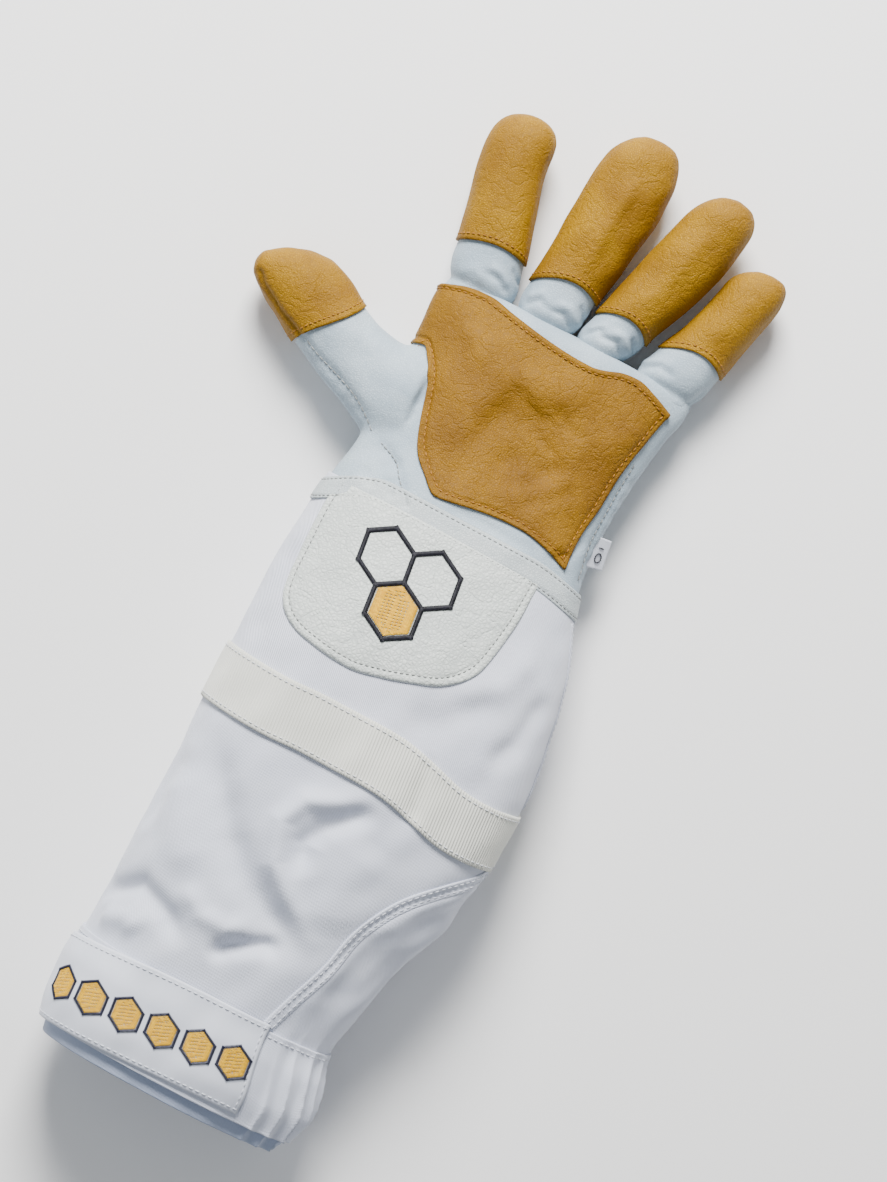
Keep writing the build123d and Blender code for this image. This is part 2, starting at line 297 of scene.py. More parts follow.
def close_up(piece):
    """Merges points that met, and turns the faces outwards."""
    only(piece)
    bpy.ops.object.mode_set(mode="EDIT")
    bpy.ops.mesh.select_all(action="SELECT")
    bpy.ops.mesh.remove_doubles(threshold=0.00002)
    bpy.ops.mesh.normals_make_consistent(inside=False)
    bpy.ops.object.mode_set(mode="OBJECT")
    bpy.ops.object.shade_smooth()


print("tools for points are ready")

# %% [markdown]
# ## A sheet off the roll
# The grid is Blender's own, made with an operator, so it comes with faces in order and a
# UV map. Writing the unrolled place of each point into that map is like printing a ruler
# on the cloth. Solidify then gives the sheet its real thickness.

# %% Sheets and thickness
def sheet(name, across, along, shape, flat=None):
    """A flat grid of faces, rolled up by shape(u, v), which gives mm from the wrist.

    flat(u, v) is the place on the unrolled skin; it goes to the UV map, in metres.
    """
    bpy.ops.object.select_all(action="DESELECT")
    bpy.ops.mesh.primitive_grid_add(x_subdivisions=across, y_subdivisions=along, size=1)
    piece = bpy.context.object
    piece.name = piece.data.name = name
    u, v, _ = positions(piece).T + 0.5
    if flat is not None:
        corners = np.empty(len(piece.data.loops), int)
        piece.data.loops.foreach_get("vertex_index", corners)
        printed = np.stack(flat(u, v), -1)[corners] * MM
        piece.data.uv_layers.active.data.foreach_set("uv", printed.ravel())
    move_points(piece, (shape(u, v) + wrist_seam) * MM)
    close_up(piece)
    return piece


def face_up(piece):
    """Turns an open piece over if its faces look down."""
    facing = sum(face.normal.z * face.area for face in piece.data.polygons)
    if facing < 0:
        piece.data.flip_normals()


def add_modifier(piece, kind, **settings):
    """Adds a modifier with its settings and applies it."""
    only(piece)
    modifier = piece.modifiers.new(kind.lower(), kind)
    for key, value in settings.items():
        setattr(modifier, key, value)
    bpy.ops.object.modifier_apply(modifier=modifier.name)


def thicken(piece, thickness, rim_slot=0):
    """Gives a sheet its thickness in mm, inwards. The cut edge may take the next material slot."""
    add_modifier(
        piece, "SOLIDIFY", thickness=thickness * MM, offset=-1.0,
        use_even_offset=False, material_offset_rim=rim_slot,
    )


print("sheets are ready to be rolled")

# %% [markdown]
# ## The arm form: cuff, gauntlet and palm
# One form runs from the elastic cuff to the knuckles, because on the real glove the cloth
# and the leather are sewn edge to edge and share one line. Each station gives the two
# sides and the bottom and top of the section. Where the glove lies on the table, the round
# section is pressed flat, as soft goods are.

# %% Arm form
LEATHER = 1.1  # thickness of a layer, in mm
arm_stations = [
    (-296, -66.5, 58.0, 1.2, 71.5),
    (-286, -69.0, 62.0, 1.0, 73.0),
    (-272, -71.5, 67.0, 1.0, 75.0),
    (-257, -72.0, 64.5, 1.0, 75.0),
    (-243, -70.5, 60.5, 1.0, 73.5),
    (-210, -69.5, 66.5, 1.0, 76.0),
    (-190, -70.0, 71.0, 1.0, 77.0),
    (-172, -70.2, 78.5, 1.0, 77.5),
    (-150, -70.5, 84.3, 1.0, 77.5),
    (-122, -71.5, 87.2, 1.0, 77.0),
    (-93, -72.2, 86.8, 1.0, 75.0),
    (-60, -72.5, 82.5, 1.0, 71.0),
    (-30, -72.0, 75.5, 1.0, 65.0),
    (-6, -69.5, 66.8, 1.0, 59.0),
    (9, -67.5, 62.5, 1.0, 54.5),
    (30, -64.0, 60.8, 1.0, 47.5),
    (60, -62.5, 61.8, 1.2, 42.0),
    (90, -63.2, 65.5, 1.5, 37.5),
    (104, -64.0, 68.5, 1.8, 35.0),
    (109, -63.5, 68.3, 2.6, 33.5),
    (112.5, -61.8, 67.0, 5.0, 31.0),
    (114.5, -58.5, 64.0, 8.5, 27.5),
    (115.6, -53.0, 58.0, 13.0, 22.0),
]


def pressed_flat(stations, sink):
    """Draws each section a little below the table, to be pressed flat there."""
    return [(t, low, high, bottom - sink * (top - bottom), top) for t, low, high, bottom, top in stations]


def lie_down(form, floor=1.0, softness=1.2):
    """Presses the underside of a form flat on the table, without a sharp edge."""
    form.tall = floor + softness * np.logaddexp(0, (form.tall - floor) / softness)
    return form


arm = lie_down(Form(pressed_flat(arm_stations, 0.06), squareness=2.35), floor=2.4)
print("girth of the palm", round(float(arm.girth_at(70)), 1), "mm")

# %% [markdown]
# ## Folds of worn cloth
# Canvas on a filled sleeve buckles where it turns: one long hollow slants across the front,
# a hook-shaped fold hangs under the webbing, and the cloth puffs out above the stiff cuff.
# Each is a stroke on the form, wide and shallow. Simulation would make folds too, but not
# in these places, so they are pressed one by one, and a fine ripple breaks up their evenness.

# %% Folds of the gauntlet
side_seam_path = [
    (86.5, -128), (82, -136), (70, -148), (58, -161), (48, -178), (42, -200), (35, -220), (28, -238),
]


def beside(path, away):
    """The same path, moved sideways by so many mm."""
    return [(x + away, y) for x, y in path]


canvas_folds = [
    # path seen from above, width, depth
    ([(-59, -124), (-45, -150), (-30, -170), (-9, -186), (12, -196), (32, -210)], 8.5, -5.0),
    ([(-66, -150), (-54, -178), (-34, -198)], 9.0, 2.0),
    ([(26, -122), (10, -131), (-5, -138), (-11, -151), (-5, -171), (11, -185), (32, -201)], 5.0, 3.6),
    ([(30, -126), (19, -134), (8, -145), (3, -156), (9, -173)], 5.5, -4.6),
    ([(34, -140), (28, -165), (30, -192)], 12.0, 2.2),
    ([(-72, -222), (-56, -210), (-38, -216), (-22, -227)], 5.5, -4.6),
    ([(-66, -232), (-54, -227), (-44, -230)], 6.0, 2.6),
    ([(-14, -225), (-5, -215), (9, -207), (20, -206)], 4.5, -4.4),
    ([(-38, -198), (-24, -208), (-10, -208), (2, -200)], 5.0, 2.6),
    ([(-66, -140), (-68, -165), (-66, -190)], 7.0, -1.6),
    (side_seam_path, 2.6, -1.4),
    (beside(side_seam_path, 6.0), 4.5, 1.1),
    (beside(side_seam_path[1:], 15.0), 6.0, -1.8),
    (beside(side_seam_path[2:], 24.0), 6.5, 1.2),
    ([(56, -172), (50, -196), (46, -222)], 5.0, -1.6),
    ([(66, -160), (62, -186), (54, -214)], 5.0, 1.4),
]
twill_folds = [
    ([(16, -89), (34, -76), (54, -52)], 8.0, -2.2),
    ([(34, -66), (52, -46), (60, -26)], 7.0, 1.6),
    ([(-66, -30), (-66, -60), (-64, -88)], 6.0, -1.4),
    ([(60, -88), (70, -70), (72, -40)], 6.0, -1.8),
    ([(36, -90), (39, -108), (44, -127)], 4.0, -1.3),
]
for path, width, depth in canvas_folds + twill_folds:
    arm.press(path, width, depth)
cloth_ripple = ripple(46, 0.55, seed=4, stretch=1.6)
fine_ripple = ripple(15, 0.22, seed=9, stretch=1.3)


def below(t, edge, soft):
    """1 well below a station, 0 well above it, with a soft change."""
    return 1 / (1 + np.exp(np.clip((t - edge) / soft, -50, 50)))


arm.swells.append(lambda s, t: below(t, -8, 3) * (cloth_ripple(s, t) + fine_ripple(s, t)))

# %% [markdown]
# ## The gathered cuff
# Elastic pulls the end of the sleeve into pleats, all round except under the flat label.
# A pleat is a sharp ridge with a wide valley, so its wave is a sine with its top drawn to a
# point. The pleats lean and change width a little, as gathers do.

# %% Pleats of the cuff
LABEL_RIGHT = 31.0
label_edge = float(arm.seen(LABEL_RIGHT, -262))
label_start = -104.0  # how far round the left side the label reaches


def pleats(s, t):
    half = arm.girth_at(t) / 2
    around = np.mod(s + half, 2 * half) - half
    gathered = 1 - below(around, label_edge + 13, 3.0) * (1 - below(around, label_start - 4, 2.5))
    lean = 2.2 * np.sin(t / 14.0) + 1.5 * np.sin(around / 23.0)
    wave = 1 - 2 * np.abs(np.sin(math.pi * (around + lean) / 9.4)) ** 0.8
    uneven = 0.65 + 0.35 * np.sin(around / 11.0 + 1.3) * np.sin(around / 4.7)
    return 2.2 * gathered * below(t, -247, 5.0) * wave * uneven


arm.swells.append(pleats)
print("the label covers", round(label_edge - label_start), "mm of the cuff")

# %% [markdown]
# ## Creases of the palm
# Leather remembers how a hand closes. Broad shallow strokes make the ball of the thumb and
# the hollow of the palm, and narrow ones make the creases between them. Gathers run along
# the outer side, where the back of the glove is drawn in.

# %% Palm creases
hand_side_seam = [(57.5, 74), (56.8, 52), (56.8, 32), (60, 12)]
palm_folds = [
    ([(-44, 92), (-22, 84), (6, 86), (34, 92)], 10.0, 1.5),
    ([(-20, 66), (4, 60), (28, 64)], 17.0, -3.0),
    ([(-46, 80), (-30, 64), (-22, 40)], 10.0, 1.2),
    ([(-6, 40), (12, 52), (34, 50)], 7.0, -1.6),
    ([(4, 34), (20, 44), (30, 62)], 4.0, -1.1),
    ([(14, 30), (26, 36), (40, 52)], 3.5, -1.0),
    ([(36, 72), (48, 80), (56, 92)], 8.0, 1.2),
    ([(-52, 12), (-48, 17), (-38, 22)], 3.0, -1.4),
    ([(-62, 20), (-54, 22), (-44, 24)], 2.6, -1.3),
    ([(-46, 4), (-50, 9), (-58, 12)], 2.6, -1.2),
    ([(-36, 4), (-40, 10), (-44, 14)], 2.4, -1.0),
    (hand_side_seam, 1.5, -1.5),
    ([(-16, 13.2), (8, 14.6), (38, 13.4)], 2.2, -1.5),
    ([(40, 15), (50, 20), (54, 34)], 2.4, -1.3),
    ([(-58, 106), (-46, 96), (-34, 88)], 4.0, 0.9),
    ([(-12, 82), (0, 74), (16, 70)], 2.6, -1.1),
    ([(-2, 72), (10, 64), (26, 58)], 2.2, -1.1),
    ([(10, 82), (22, 74), (34, 72)], 2.4, -0.9),
]
for path, width, depth in palm_folds:
    arm.press(path, width, depth)
for step in range(7):
    y = 12 + 8.5 * step
    arm.press([(58, y), (61, y + 2.0), (64, y + 1.0)], 2.0, -1.3, taper=0.4)
leather_ripple = ripple(24, 0.32, seed=21)
arm.swells.append(lambda s, t: (1 - below(t, 4, 3)) * leather_ripple(s, t))
print(len(palm_folds), "folds pressed into the palm")

# %% [markdown]
# ## The thumb's form
# The thumb stands out sideways, so its form is strung along the x axis. The seam on its
# side is a groove with one soft lip: leather is sewn right side to right side and turned,
# and the turned seam always bulges a little on one side.

# %% Thumb form
thumb_stations = [
    (-48, 24.0, 75.0, 2.0, 43.0),
    (-60, 24.0, 75.5, 2.0, 41.5),
    (-66, 26.5, 74.5, 2.0, 39.5),
    (-78, 33.0, 76.2, 3.0, 36.0),
    (-90, 37.5, 80.5, 3.4, 34.0),
    (-100, 43.0, 86.6, 4.0, 33.0),
    (-110, 48.0, 91.2, 4.5, 33.0),
    (-118, 52.2, 93.2, 5.0, 33.0),
    (-127, 57.0, 92.3, 5.4, 32.6),
    (-135, 61.8, 89.4, 6.4, 31.4),
    (-140, 65.0, 86.8, 8.0, 30.0),
    (-144.5, 68.4, 83.8, 10.5, 27.8),
    (-147.3, 71.6, 80.6, 13.8, 24.8),
    (-148.3, 75.0, 77.6, 17.5, 21.0),
]
thumb = Form(thumb_stations, squareness=2.25, along="x")
thumb_seam = [
    (-145.5, 74), (-139, 67), (-127, 60), (-114, 54.5), (-105, 50.5), (-88, 44.5), (-73, 38), (-60, 29),
]
wrist_seam_path = [(-60, 29), (-43, 21), (-38, 15), (-33, 10), (-27.5, 3.5)]
thumb.press(thumb_seam, 1.7, -1.5, taper=0.05)
thumb.press([(x - 4, y - 4) for x, y in thumb_seam], 3.0, 0.9)
arm.press(wrist_seam_path, 1.7, -1.5, taper=0.05)
thumb.press([(-84, 60), (-96, 64), (-106, 66)], 12.0, 0.9)
for x in (-70, -77, -84, -98):
    thumb.press([(x, 31.5 - 0.42 * (x + 70)), (x - 2.5, 36 - 0.42 * (x + 70))], 1.8, -0.9, taper=0.4)
thumb.swells.append(ripple(17, 0.28, seed=5))
print("girth of the thumb", round(float(thumb.girth_at(-105)), 1), "mm")

# %% [markdown]
# ## Palm and thumb in one skin
# The palm and the thumb are cut in one flow of leather, with no corner between them. Two
# closed tubes are joined, and a voxel remesh, which is Blender's way of melting solids
# together, makes one skin of them. Smoothing then rounds the fork of the thumb.

# %% Melt palm and thumb into one skin
def tube(name, form, around, along, start, end, lift=0.0, ends_closed=False):
    """A tube of a form between two stations. start and end may be edges drawn round it."""
    half = form.girth_at(start(0.0) if callable(start) else start) / 2

    def flat(u, v):
        s = (2 * u - 1) * half
        low = start(s) if callable(start) else start
        high = end(s) if callable(end) else end
        t = low + (high - low) * v
        return (u - 0.5) * form.girth_at(t), t

    def shape(u, v):
        s, t = flat(u, v)
        points, _ = form.point(s, t, lift(s, t) if callable(lift) else lift)
        if ends_closed:
            for edge in (0.0, 1.0):
                ring = np.isclose(v, edge)
                points[ring] = points[ring].mean(axis=0)
        return points

    return sheet(name, around, along, shape, flat)


SKIN_FROM, SKIN_TO = -16.0, 115.6
palm_tube = tube("hand_skin", arm, 240, 100, SKIN_FROM, SKIN_TO, ends_closed=True)
thumb_tube = tube("thumb_tube", thumb, 110, 60, -48.0, -118.0, lift=-LEATHER, ends_closed=True)
only(palm_tube)
thumb_tube.select_set(True)
bpy.ops.object.join()
hand_skin = bpy.context.object
add_modifier(hand_skin, "REMESH", mode="VOXEL", voxel_size=1.45 * MM)
fork = hand_skin.vertex_groups.new(name="fork")
from_seam = positions(hand_skin) / MM - wrist_seam
fork_share = np.exp(-((from_seam[:, 0] + 59) / 9) ** 2) * (from_seam[:, 1] > 15)
for index in np.flatnonzero(fork_share > 0.05):
    fork.add([int(index)], float(fork_share[index]), "REPLACE")
add_modifier(hand_skin, "SMOOTH", factor=0.5, iterations=24, vertex_group="fork")
add_modifier(hand_skin, "SMOOTH", factor=0.5, iterations=3)
hand_skin.vertex_groups.clear()
close_up(hand_skin)
print("the hand's skin has", len(hand_skin.data.polygons), "faces")

# %% [markdown]
# ## Cutting the hand into its moving parts
# The thumb bends where it leaves the palm, so its leather is a piece of its own. The cut
# runs under the edge of the palm patch and then along a crease at the wrist, where a glove
# shows a fold in any case. Both pieces keep the same points along the cut, so it closes.

# %% Cut the skin along two lines
THUMB_CUT = ((-35.0, 28.0), (-51.0, 76.0))  # a line under the edge of the palm patch
THUMB_CUT_LOW = 26.0  # the crease below the thumb
FORK = (-62.0, 77.0)  # where thumb and palm part
FORK_CUT = (3.0, 1.0)  # across the line that runs up from the fork, beside the palm


def cut_along(piece, place, normal, drop_behind=False):
    """Cuts all faces of a piece along a plane, and may drop what lies behind it."""
    only(piece)
    bpy.ops.object.mode_set(mode="EDIT")
    bpy.ops.mesh.select_all(action="SELECT")
    bpy.ops.mesh.bisect(
        plane_co=from_wrist(*place), plane_no=normal,
        clear_inner=drop_behind, threshold=0.000001,
    )
    bpy.ops.object.mode_set(mode="OBJECT")


def copy_of(piece, name):
    """A copy of a piece with its own mesh."""
    new = piece.copy()
    new.data = piece.data.copy()
    new.name = new.data.name = name
    bpy.context.collection.objects.link(new)
    return new


def keep_faces(piece, wanted):
    """Deletes the faces whose middles, in mm from the wrist, are not wanted."""
    middles = np.empty(len(piece.data.polygons) * 3)
    piece.data.polygons.foreach_get("center", middles)
    away = ~wanted(middles.reshape(-1, 3) / MM - wrist_seam)
    only(piece)
    bpy.ops.object.mode_set(mode="EDIT")
    bpy.ops.mesh.select_mode(type="FACE")
    bpy.ops.mesh.select_all(action="DESELECT")
    bpy.ops.object.mode_set(mode="OBJECT")
    piece.data.polygons.foreach_set("select", away)
    bpy.ops.object.mode_set(mode="EDIT")
    bpy.ops.mesh.delete(type="FACE")
    bpy.ops.mesh.select_all(action="SELECT")
    bpy.ops.mesh.delete_loose()
    bpy.ops.mesh.select_mode(type="VERT")
    bpy.ops.object.mode_set(mode="OBJECT")


print("cutting tools are ready")

# %% [markdown]
# ## Thumb here, hand there
# The pieces are sorted by where each face lies. The line beside the palm starts at the
# fork, so that no leather of the palm turns with the thumb.

# %% Sort the faces
(cut_x0, cut_y0), (cut_x1, cut_y1) = THUMB_CUT
cut_across = np.array([cut_y1 - cut_y0, cut_x0 - cut_x1])  # points away from the thumb
cut_across /= np.linalg.norm(cut_across)


def on_thumb(p):
    """Which points belong to the thumb's piece."""
    beside_cut = (p[:, 0] - cut_x0) * cut_across[0] + (p[:, 1] - cut_y0) * cut_across[1]
    beside_palm = (p[:, 0] - FORK[0]) * FORK_CUT[0] + (p[:, 1] - FORK[1]) * FORK_CUT[1]
    low = p[:, 1] < FORK[1]
    return (beside_cut < 0) & (p[:, 1] > THUMB_CUT_LOW) & (low | (beside_palm < 0))


cut_along(hand_skin, (cut_x0, cut_y0, 0), (*cut_across, 0))
cut_along(hand_skin, (0, THUMB_CUT_LOW, 0), (0, 1, 0))
cut_along(hand_skin, (0, FORK[1], 0), (0, 1, 0))
cut_along(hand_skin, (*FORK, 0), (*FORK_CUT, 0))
cut_along(hand_skin, (0, -12, 0), (0, 1, 0), drop_behind=True)
skin_tree = BVHTree.FromObject(hand_skin, bpy.context.evaluated_depsgraph_get())
thumb_leather = copy_of(hand_skin, "thumb_leather")
keep_faces(thumb_leather, on_thumb)
keep_faces(thumb_leather, lambda p: p[:, 0] > -113)
hand_leather = hand_skin
hand_leather.name = hand_leather.data.name = "hand_leather"
keep_faces(hand_leather, lambda p: ~on_thumb(p))
print(len(hand_leather.data.polygons), "faces on the hand,", len(thumb_leather.data.polygons), "on the thumb")

# %% [markdown]
# ## Finger forms
# Each finger is a form of its own, from inside the palm to its rounded tip. The white base
# runs inside the tan cap, one leather thinner, and comes out below the cap's hem. On the
# real glove the bases pucker where two fingers part, because a curved edge is sewn to a
# straight one there.

# %% Finger forms
finger_stations = {
    # station, then the low and high side, the bottom and the top
    "index": [
        (100, -63.0, -30.0, 2.0, 29.0), (113, -64.2, -29.2, 2.0, 30.0),
        (125, -66.6, -31.2, 2.0, 30.6), (133, -68.2, -32.8, 2.2, 30.8),
        (140, -70.0, -34.2, 2.4, 31.0), (155, -73.4, -39.0, 3.0, 31.2),
        (170, -76.2, -43.4, 3.8, 31.4), (181, -77.4, -45.6, 4.4, 31.2),
        (188, -76.6, -46.6, 5.2, 30.4), (193.5, -73.8, -48.4, 7.2, 28.8),
        (197, -69.6, -51.4, 10.0, 26.4), (199, -64.6, -55.8, 13.8, 22.6),
        (199.5, -61.5, -58.5, 16.5, 19.5),
    ],
    "middle": [
        (100, -27.6, 2.2, 2.0, 29.0), (113, -28.0, 2.6, 2.0, 30.0),
        (125, -27.9, 4.8, 2.0, 30.6), (133, -27.6, 5.6, 2.2, 30.8),
        (140, -27.2, 6.7, 2.5, 31.2), (155, -26.5, 9.6, 3.2, 32.0),
        (170, -26.0, 11.6, 4.2, 32.8), (185, -25.5, 12.9, 5.4, 33.4),
        (196, -24.3, 12.9, 6.6, 33.4), (204, -21.9, 11.8, 8.2, 32.8),
        (209.5, -18.2, 9.8, 10.4, 31.2), (213.8, -13.4, 6.6, 13.6, 28.4),
        (216, -8.4, 2.4, 17.4, 24.8), (216.5, -4.6, -1.0, 19.6, 22.6),
    ],
    "ring": [
        (100, 4.2, 29.3, 2.0, 28.6), (113, 4.2, 29.8, 2.0, 29.8),
        (125, 6.4, 34.4, 2.2, 30.8), (133, 8.2, 37.6, 2.6, 31.4),
        (140, 10.0, 40.8, 3.2, 32.0), (155, 13.8, 46.8, 4.4, 33.2),
        (168, 17.0, 50.8, 6.0, 34.2), (185, 21.8, 54.8, 8.4, 35.4),
        (194, 24.8, 55.6, 9.8, 35.4), (200, 28.0, 54.8, 11.4, 34.8),
        (204.4, 32.0, 52.8, 13.6, 33.2), (207.3, 36.6, 49.4, 16.8, 30.4),
        (208.5, 41.0, 44.6, 20.6, 26.4),
    ],
    "little": [
        (100, 35.4, 69.2, 2.0, 28.6), (113, 36.2, 70.8, 2.0, 29.2),
        (125, 40.2, 73.6, 2.0, 29.4), (135, 44.2, 76.2, 2.3, 29.8),
        (144, 48.4, 78.4, 2.7, 30.2), (155, 52.0, 80.8, 3.2, 30.4),
        (167, 55.4, 83.4, 4.0, 30.2), (174, 56.8, 84.4, 5.0, 29.8),
        (179, 60.0, 83.8, 7.0, 28.4), (182.5, 64.4, 81.8, 10.0, 26.0),
        (184.5, 69.0, 78.6, 13.6, 22.4), (185, 73.0, 75.6, 16.6, 19.4),
    ],
}
RIDGE = 0.7  # height of the soft ridge along a finger
fingers = {
    name: lie_down(Form(pressed_flat(stations, 0.02), squareness=2.3), floor=1.2, softness=0.8)
    for name, stations in finger_stations.items()
}
print({name: round(float(form.girth_at(140))) for name, form in fingers.items()}, "mm round the fingers")

# %% [markdown]
# ## Puckers and side seams of the fingers
# Where a finger meets the palm, a curved edge is sewn to a straight one, so the leather
# puckers: each pucker is a sharp crease with a soft ridge beside it. The seams down both
# sides are a groove between two lips, and stop short of the rounded tip.

# %% Folds of the fingers
finger_folds = {
    # path seen from above, width, depth: sharp puckers below the hem, a soft ridge above it
    "index": [
        ([(-33, 116), (-40, 121), (-50, 122)], 1.5, -1.3), ([(-34, 120), (-41, 125), (-48, 126)], 1.6, 0.9),
        ([(-31, 124), (-38, 130)], 1.4, -1.1), ([(-62, 116), (-54, 120), (-44, 117)], 2.6, 0.7),
        ([(-54, 136), (-58, 160), (-61, 186)], 6.0, RIDGE),
    ],
    "middle": [
        ([(2, 116), (-5, 121), (-15, 120)], 1.4, -1.5), ([(3, 119), (-4, 125), (-12, 125)], 1.6, 1.1),
        ([(5, 123), (-1, 130)], 1.3, -1.2), ([(-26, 116), (-19, 122), (-12, 119)], 1.5, -1.1),
        ([(-26, 121), (-18, 127)], 2.0, 0.8), ([(-8, 138), (-7, 165), (-5, 200)], 4.0, 1.5),
    ],
    "ring": [
        ([(29, 116), (23, 121), (13, 120)], 1.4, -1.6), ([(31, 118), (25, 125), (16, 125)], 1.7, 1.2),
        ([(33, 121), (28, 128)], 1.2, -1.3), ([(6, 116), (12, 123), (18, 119)], 1.5, -1.2),
        ([(7, 121), (15, 127)], 1.8, 0.8), ([(24, 136), (33, 165), (39, 194)], 4.5, 1.1),
    ],
    "little": [
        ([(37, 116), (46, 121), (56, 119)], 1.7, -1.2), ([(38, 120), (47, 125)], 1.9, 0.9),
        ([(68, 104), (70, 114), (72, 124)], 3.0, -0.8), ([(60, 140), (66, 158), (69, 172)], 5.0, RIDGE),
    ],
}


def waist(s, t):
    """The dip where a finger is sewn to the palm, and the puff just above it."""
    return 0.9 * np.exp(-(((t - 122) / 6) ** 2)) - 1.6 * np.exp(-(((t - 112.5) / 2.6) ** 2))


for number, (name, form) in enumerate(fingers.items()):
    for path, width, depth in finger_folds[name]:
        form.press(path, width, depth)
    form.swells += [waist, ripple(26, 0.28, seed=31 + number)]


def side_welt(form):
    """The seam down both sides of a finger: a groove between two soft lips."""
    def swell(s, t):
        quarter = form.girth_at(t) / 4
        away = np.abs(np.abs(s) - quarter)
        fade = below(t, form.last - 3, 1.5)
        return fade * (0.5 * np.exp(-(((away - 2.2) / 1.3) ** 2)) - 1.0 * np.exp(-((away / 0.8) ** 2)))
    return swell


for form in fingers.values():
    form.swells.append(side_welt(form))
print(sum(len(form.strokes) for form in fingers.values()), "strokes on the fingers")

# %% [markdown]
# ## Leather caps with a raw hem
# A cap is one more layer over the finger. Its hem is an arc, higher in the middle, and the
# cut edge of the leather shows brown. Solidify can put a different material on the rim of a
# sheet, which is just what a raw edge needs.

# %% Finger bases and caps
hems = {  # height of the hem at the finger's left side, middle and right side
    "index": (129.5, 135.0, 134.0), "middle": (129.0, 136.5, 133.0),
    "ring": (130.0, 133.5, 127.0), "little": (130.0, 135.0, 129.5),
}
STITCH_IN = 2.9  # how far stitches run from an edge
THUMB_HEM, HEM_SLANT, HEM_BOW = -103.0, 12.0, 1.5
CAP_GIRTH_AT = {"y": 132.0, "x": -105.0}  # where a cap's girth is taken, on fingers and thumb


def hem_line(name, s, form, above=0.0):
    """The hem's station all round a finger."""
    left, middle, right = hems[name]
    turn = 2 * math.pi * s / form.girth_at(133)
    side = 0.5 * (left + right) - 0.5 * (left - right) * np.sin(turn)
    return side + (middle - 0.5 * (left + right)) * np.cos(turn) ** 2 + above


def thumb_hem(s, above=0.0):
    """The hem of the thumb's cap slants across the thumb."""
    turn = 2 * math.pi * s / thumb.girth_at(CAP_GIRTH_AT["x"])
    return THUMB_HEM + HEM_SLANT * np.sin(turn) + HEM_BOW * np.cos(turn) - above


def cap(name, form, hem, tip, across=92, along=72):
    """A finger cap from its hem to the pole of its tip."""

    def shape(u, v):
        s = (u - 0.5) * form.girth_at(CAP_GIRTH_AT[form.along])
        start = hem(s)
        t = start + (tip - start) * (1 - (1 - v) ** 1.7)
        flare = 0.35 * np.exp(-v * 30)
        points, _ = form.point((u - 0.5) * form.girth_at(t), t, flare)
        pole = np.isclose(v, 1.0)
        points[pole] = points[pole].mean(axis=0)
        return points

    piece = sheet(name, across, along, shape)
    thicken(piece, LEATHER, rim_slot=1)
    return piece


BASE_START, TUCK_END, TUCK = 101.0, 111.0, 6.5  # a finger's leather starts inside the hand


def tucked(s, t):
    """Draws the start of a finger's leather in, so that no open edge shows beside the hand."""
    share = np.clip((TUCK_END - t) / (TUCK_END - BASE_START), 0, 1)
    return -LEATHER - TUCK * share ** 2


finger_bases, caps = {}, {}
for name, form in fingers.items():
    base = tube(f"{name}_base_leather", form, 88, 34, BASE_START, hems[name][1] + 6, lift=tucked)
    finger_bases[name] = base
    caps[name] = cap(f"{name}_cap", form, lambda s, n=name, f=form: hem_line(n, s, f), form.last)
caps["thumb"] = cap("thumb_cap", thumb, thumb_hem, thumb.first)
print(len(caps), "caps,", len(finger_bases), "bases")

# %% [markdown]
# ## Panels laid over the glove
# A patch or a badge is drawn by its four edges on the unrolled skin. A Coons patch fills
# in between: it blends the two pairs of edges. What lies on uneven leather, such as the palm
# patch and every stitch, is then settled: each point drops along the skin's normal until it
# meets the piece beneath.

# %% Draw, fill and settle
def smooth_path(path, share):
    """A smooth curve through drawn points, read at shares of its length."""
    path = np.array(path, float)
    reach = np.concatenate([[0], np.linalg.norm(np.diff(path, axis=0), axis=1).cumsum()])
    return smooth_through(np.column_stack([reach, path]), np.asarray(share) * reach[-1])


def unrolled(form, path):
    """A path seen from above, as (distance round, distance along) on a form's skin."""
    path = np.array(path, float)
    if form.along == "y":
        return np.stack([form.seen(path[:, 0], path[:, 1]), path[:, 1]], -1)
    return np.stack([form.seen(path[:, 1], path[:, 0]), path[:, 0]], -1)


def four_edges(bottom, right, top, left, u, v):
    """A Coons patch: bottom and top run left to right, the sides run upwards."""
    low, high = smooth_path(bottom, u), smooth_path(top, u)
    near, far = smooth_path(left, v), smooth_path(right, v)
    a, b = u[:, None], v[:, None]
    c00, c10, c01, c11 = (np.array(c, float) for c in (bottom[0], bottom[-1], top[0], top[-1]))
    corners = (1 - a) * (1 - b) * c00 + a * (1 - b) * c10 + (1 - a) * b * c01 + a * b * c11
    return (1 - b) * low + b * high + (1 - a) * near + a * far - corners


def tree_of(piece):
    return BVHTree.FromObject(piece, bpy.context.evaluated_depsgraph_get())


def settle(points, normals, tree, lift=0.0):
    """Drops points, in mm, along their normals onto a piece, then lifts them so many mm."""
    landed = points.copy()
    for n, (point, normal) in enumerate(zip(points, normals)):
        start = Vector(from_wrist(*(point + 14 * normal)))
        hit = tree.ray_cast(start, Vector(-normal), 30 * MM)[0]
        if hit is not None:
            landed[n] = np.array(hit) / MM - wrist_seam
    return landed + normals * np.broadcast_to(lift, len(points))[:, None]


def panel(name, form, across, along, flat, lift=0.0, on=None):
    """A panel drawn on the unrolled skin by flat(u, v), on its form or settled on a piece."""

    def shape(u, v):
        s, t = flat(u, v)
        height = lift(s, t, u, v) if callable(lift) else lift
        if on is None:
            return form.point(s, t, height)[0]
        points, normals = form.point(s, t)
        return settle(points, normals, on, height)

    return sheet(name, across, along, shape, flat)


def bump_at(distance, place, width):
    """A smooth rise of height 1 at a distance from an edge."""
    return np.exp(-(((distance - place) / width) ** 2))


print("panels can be drawn")

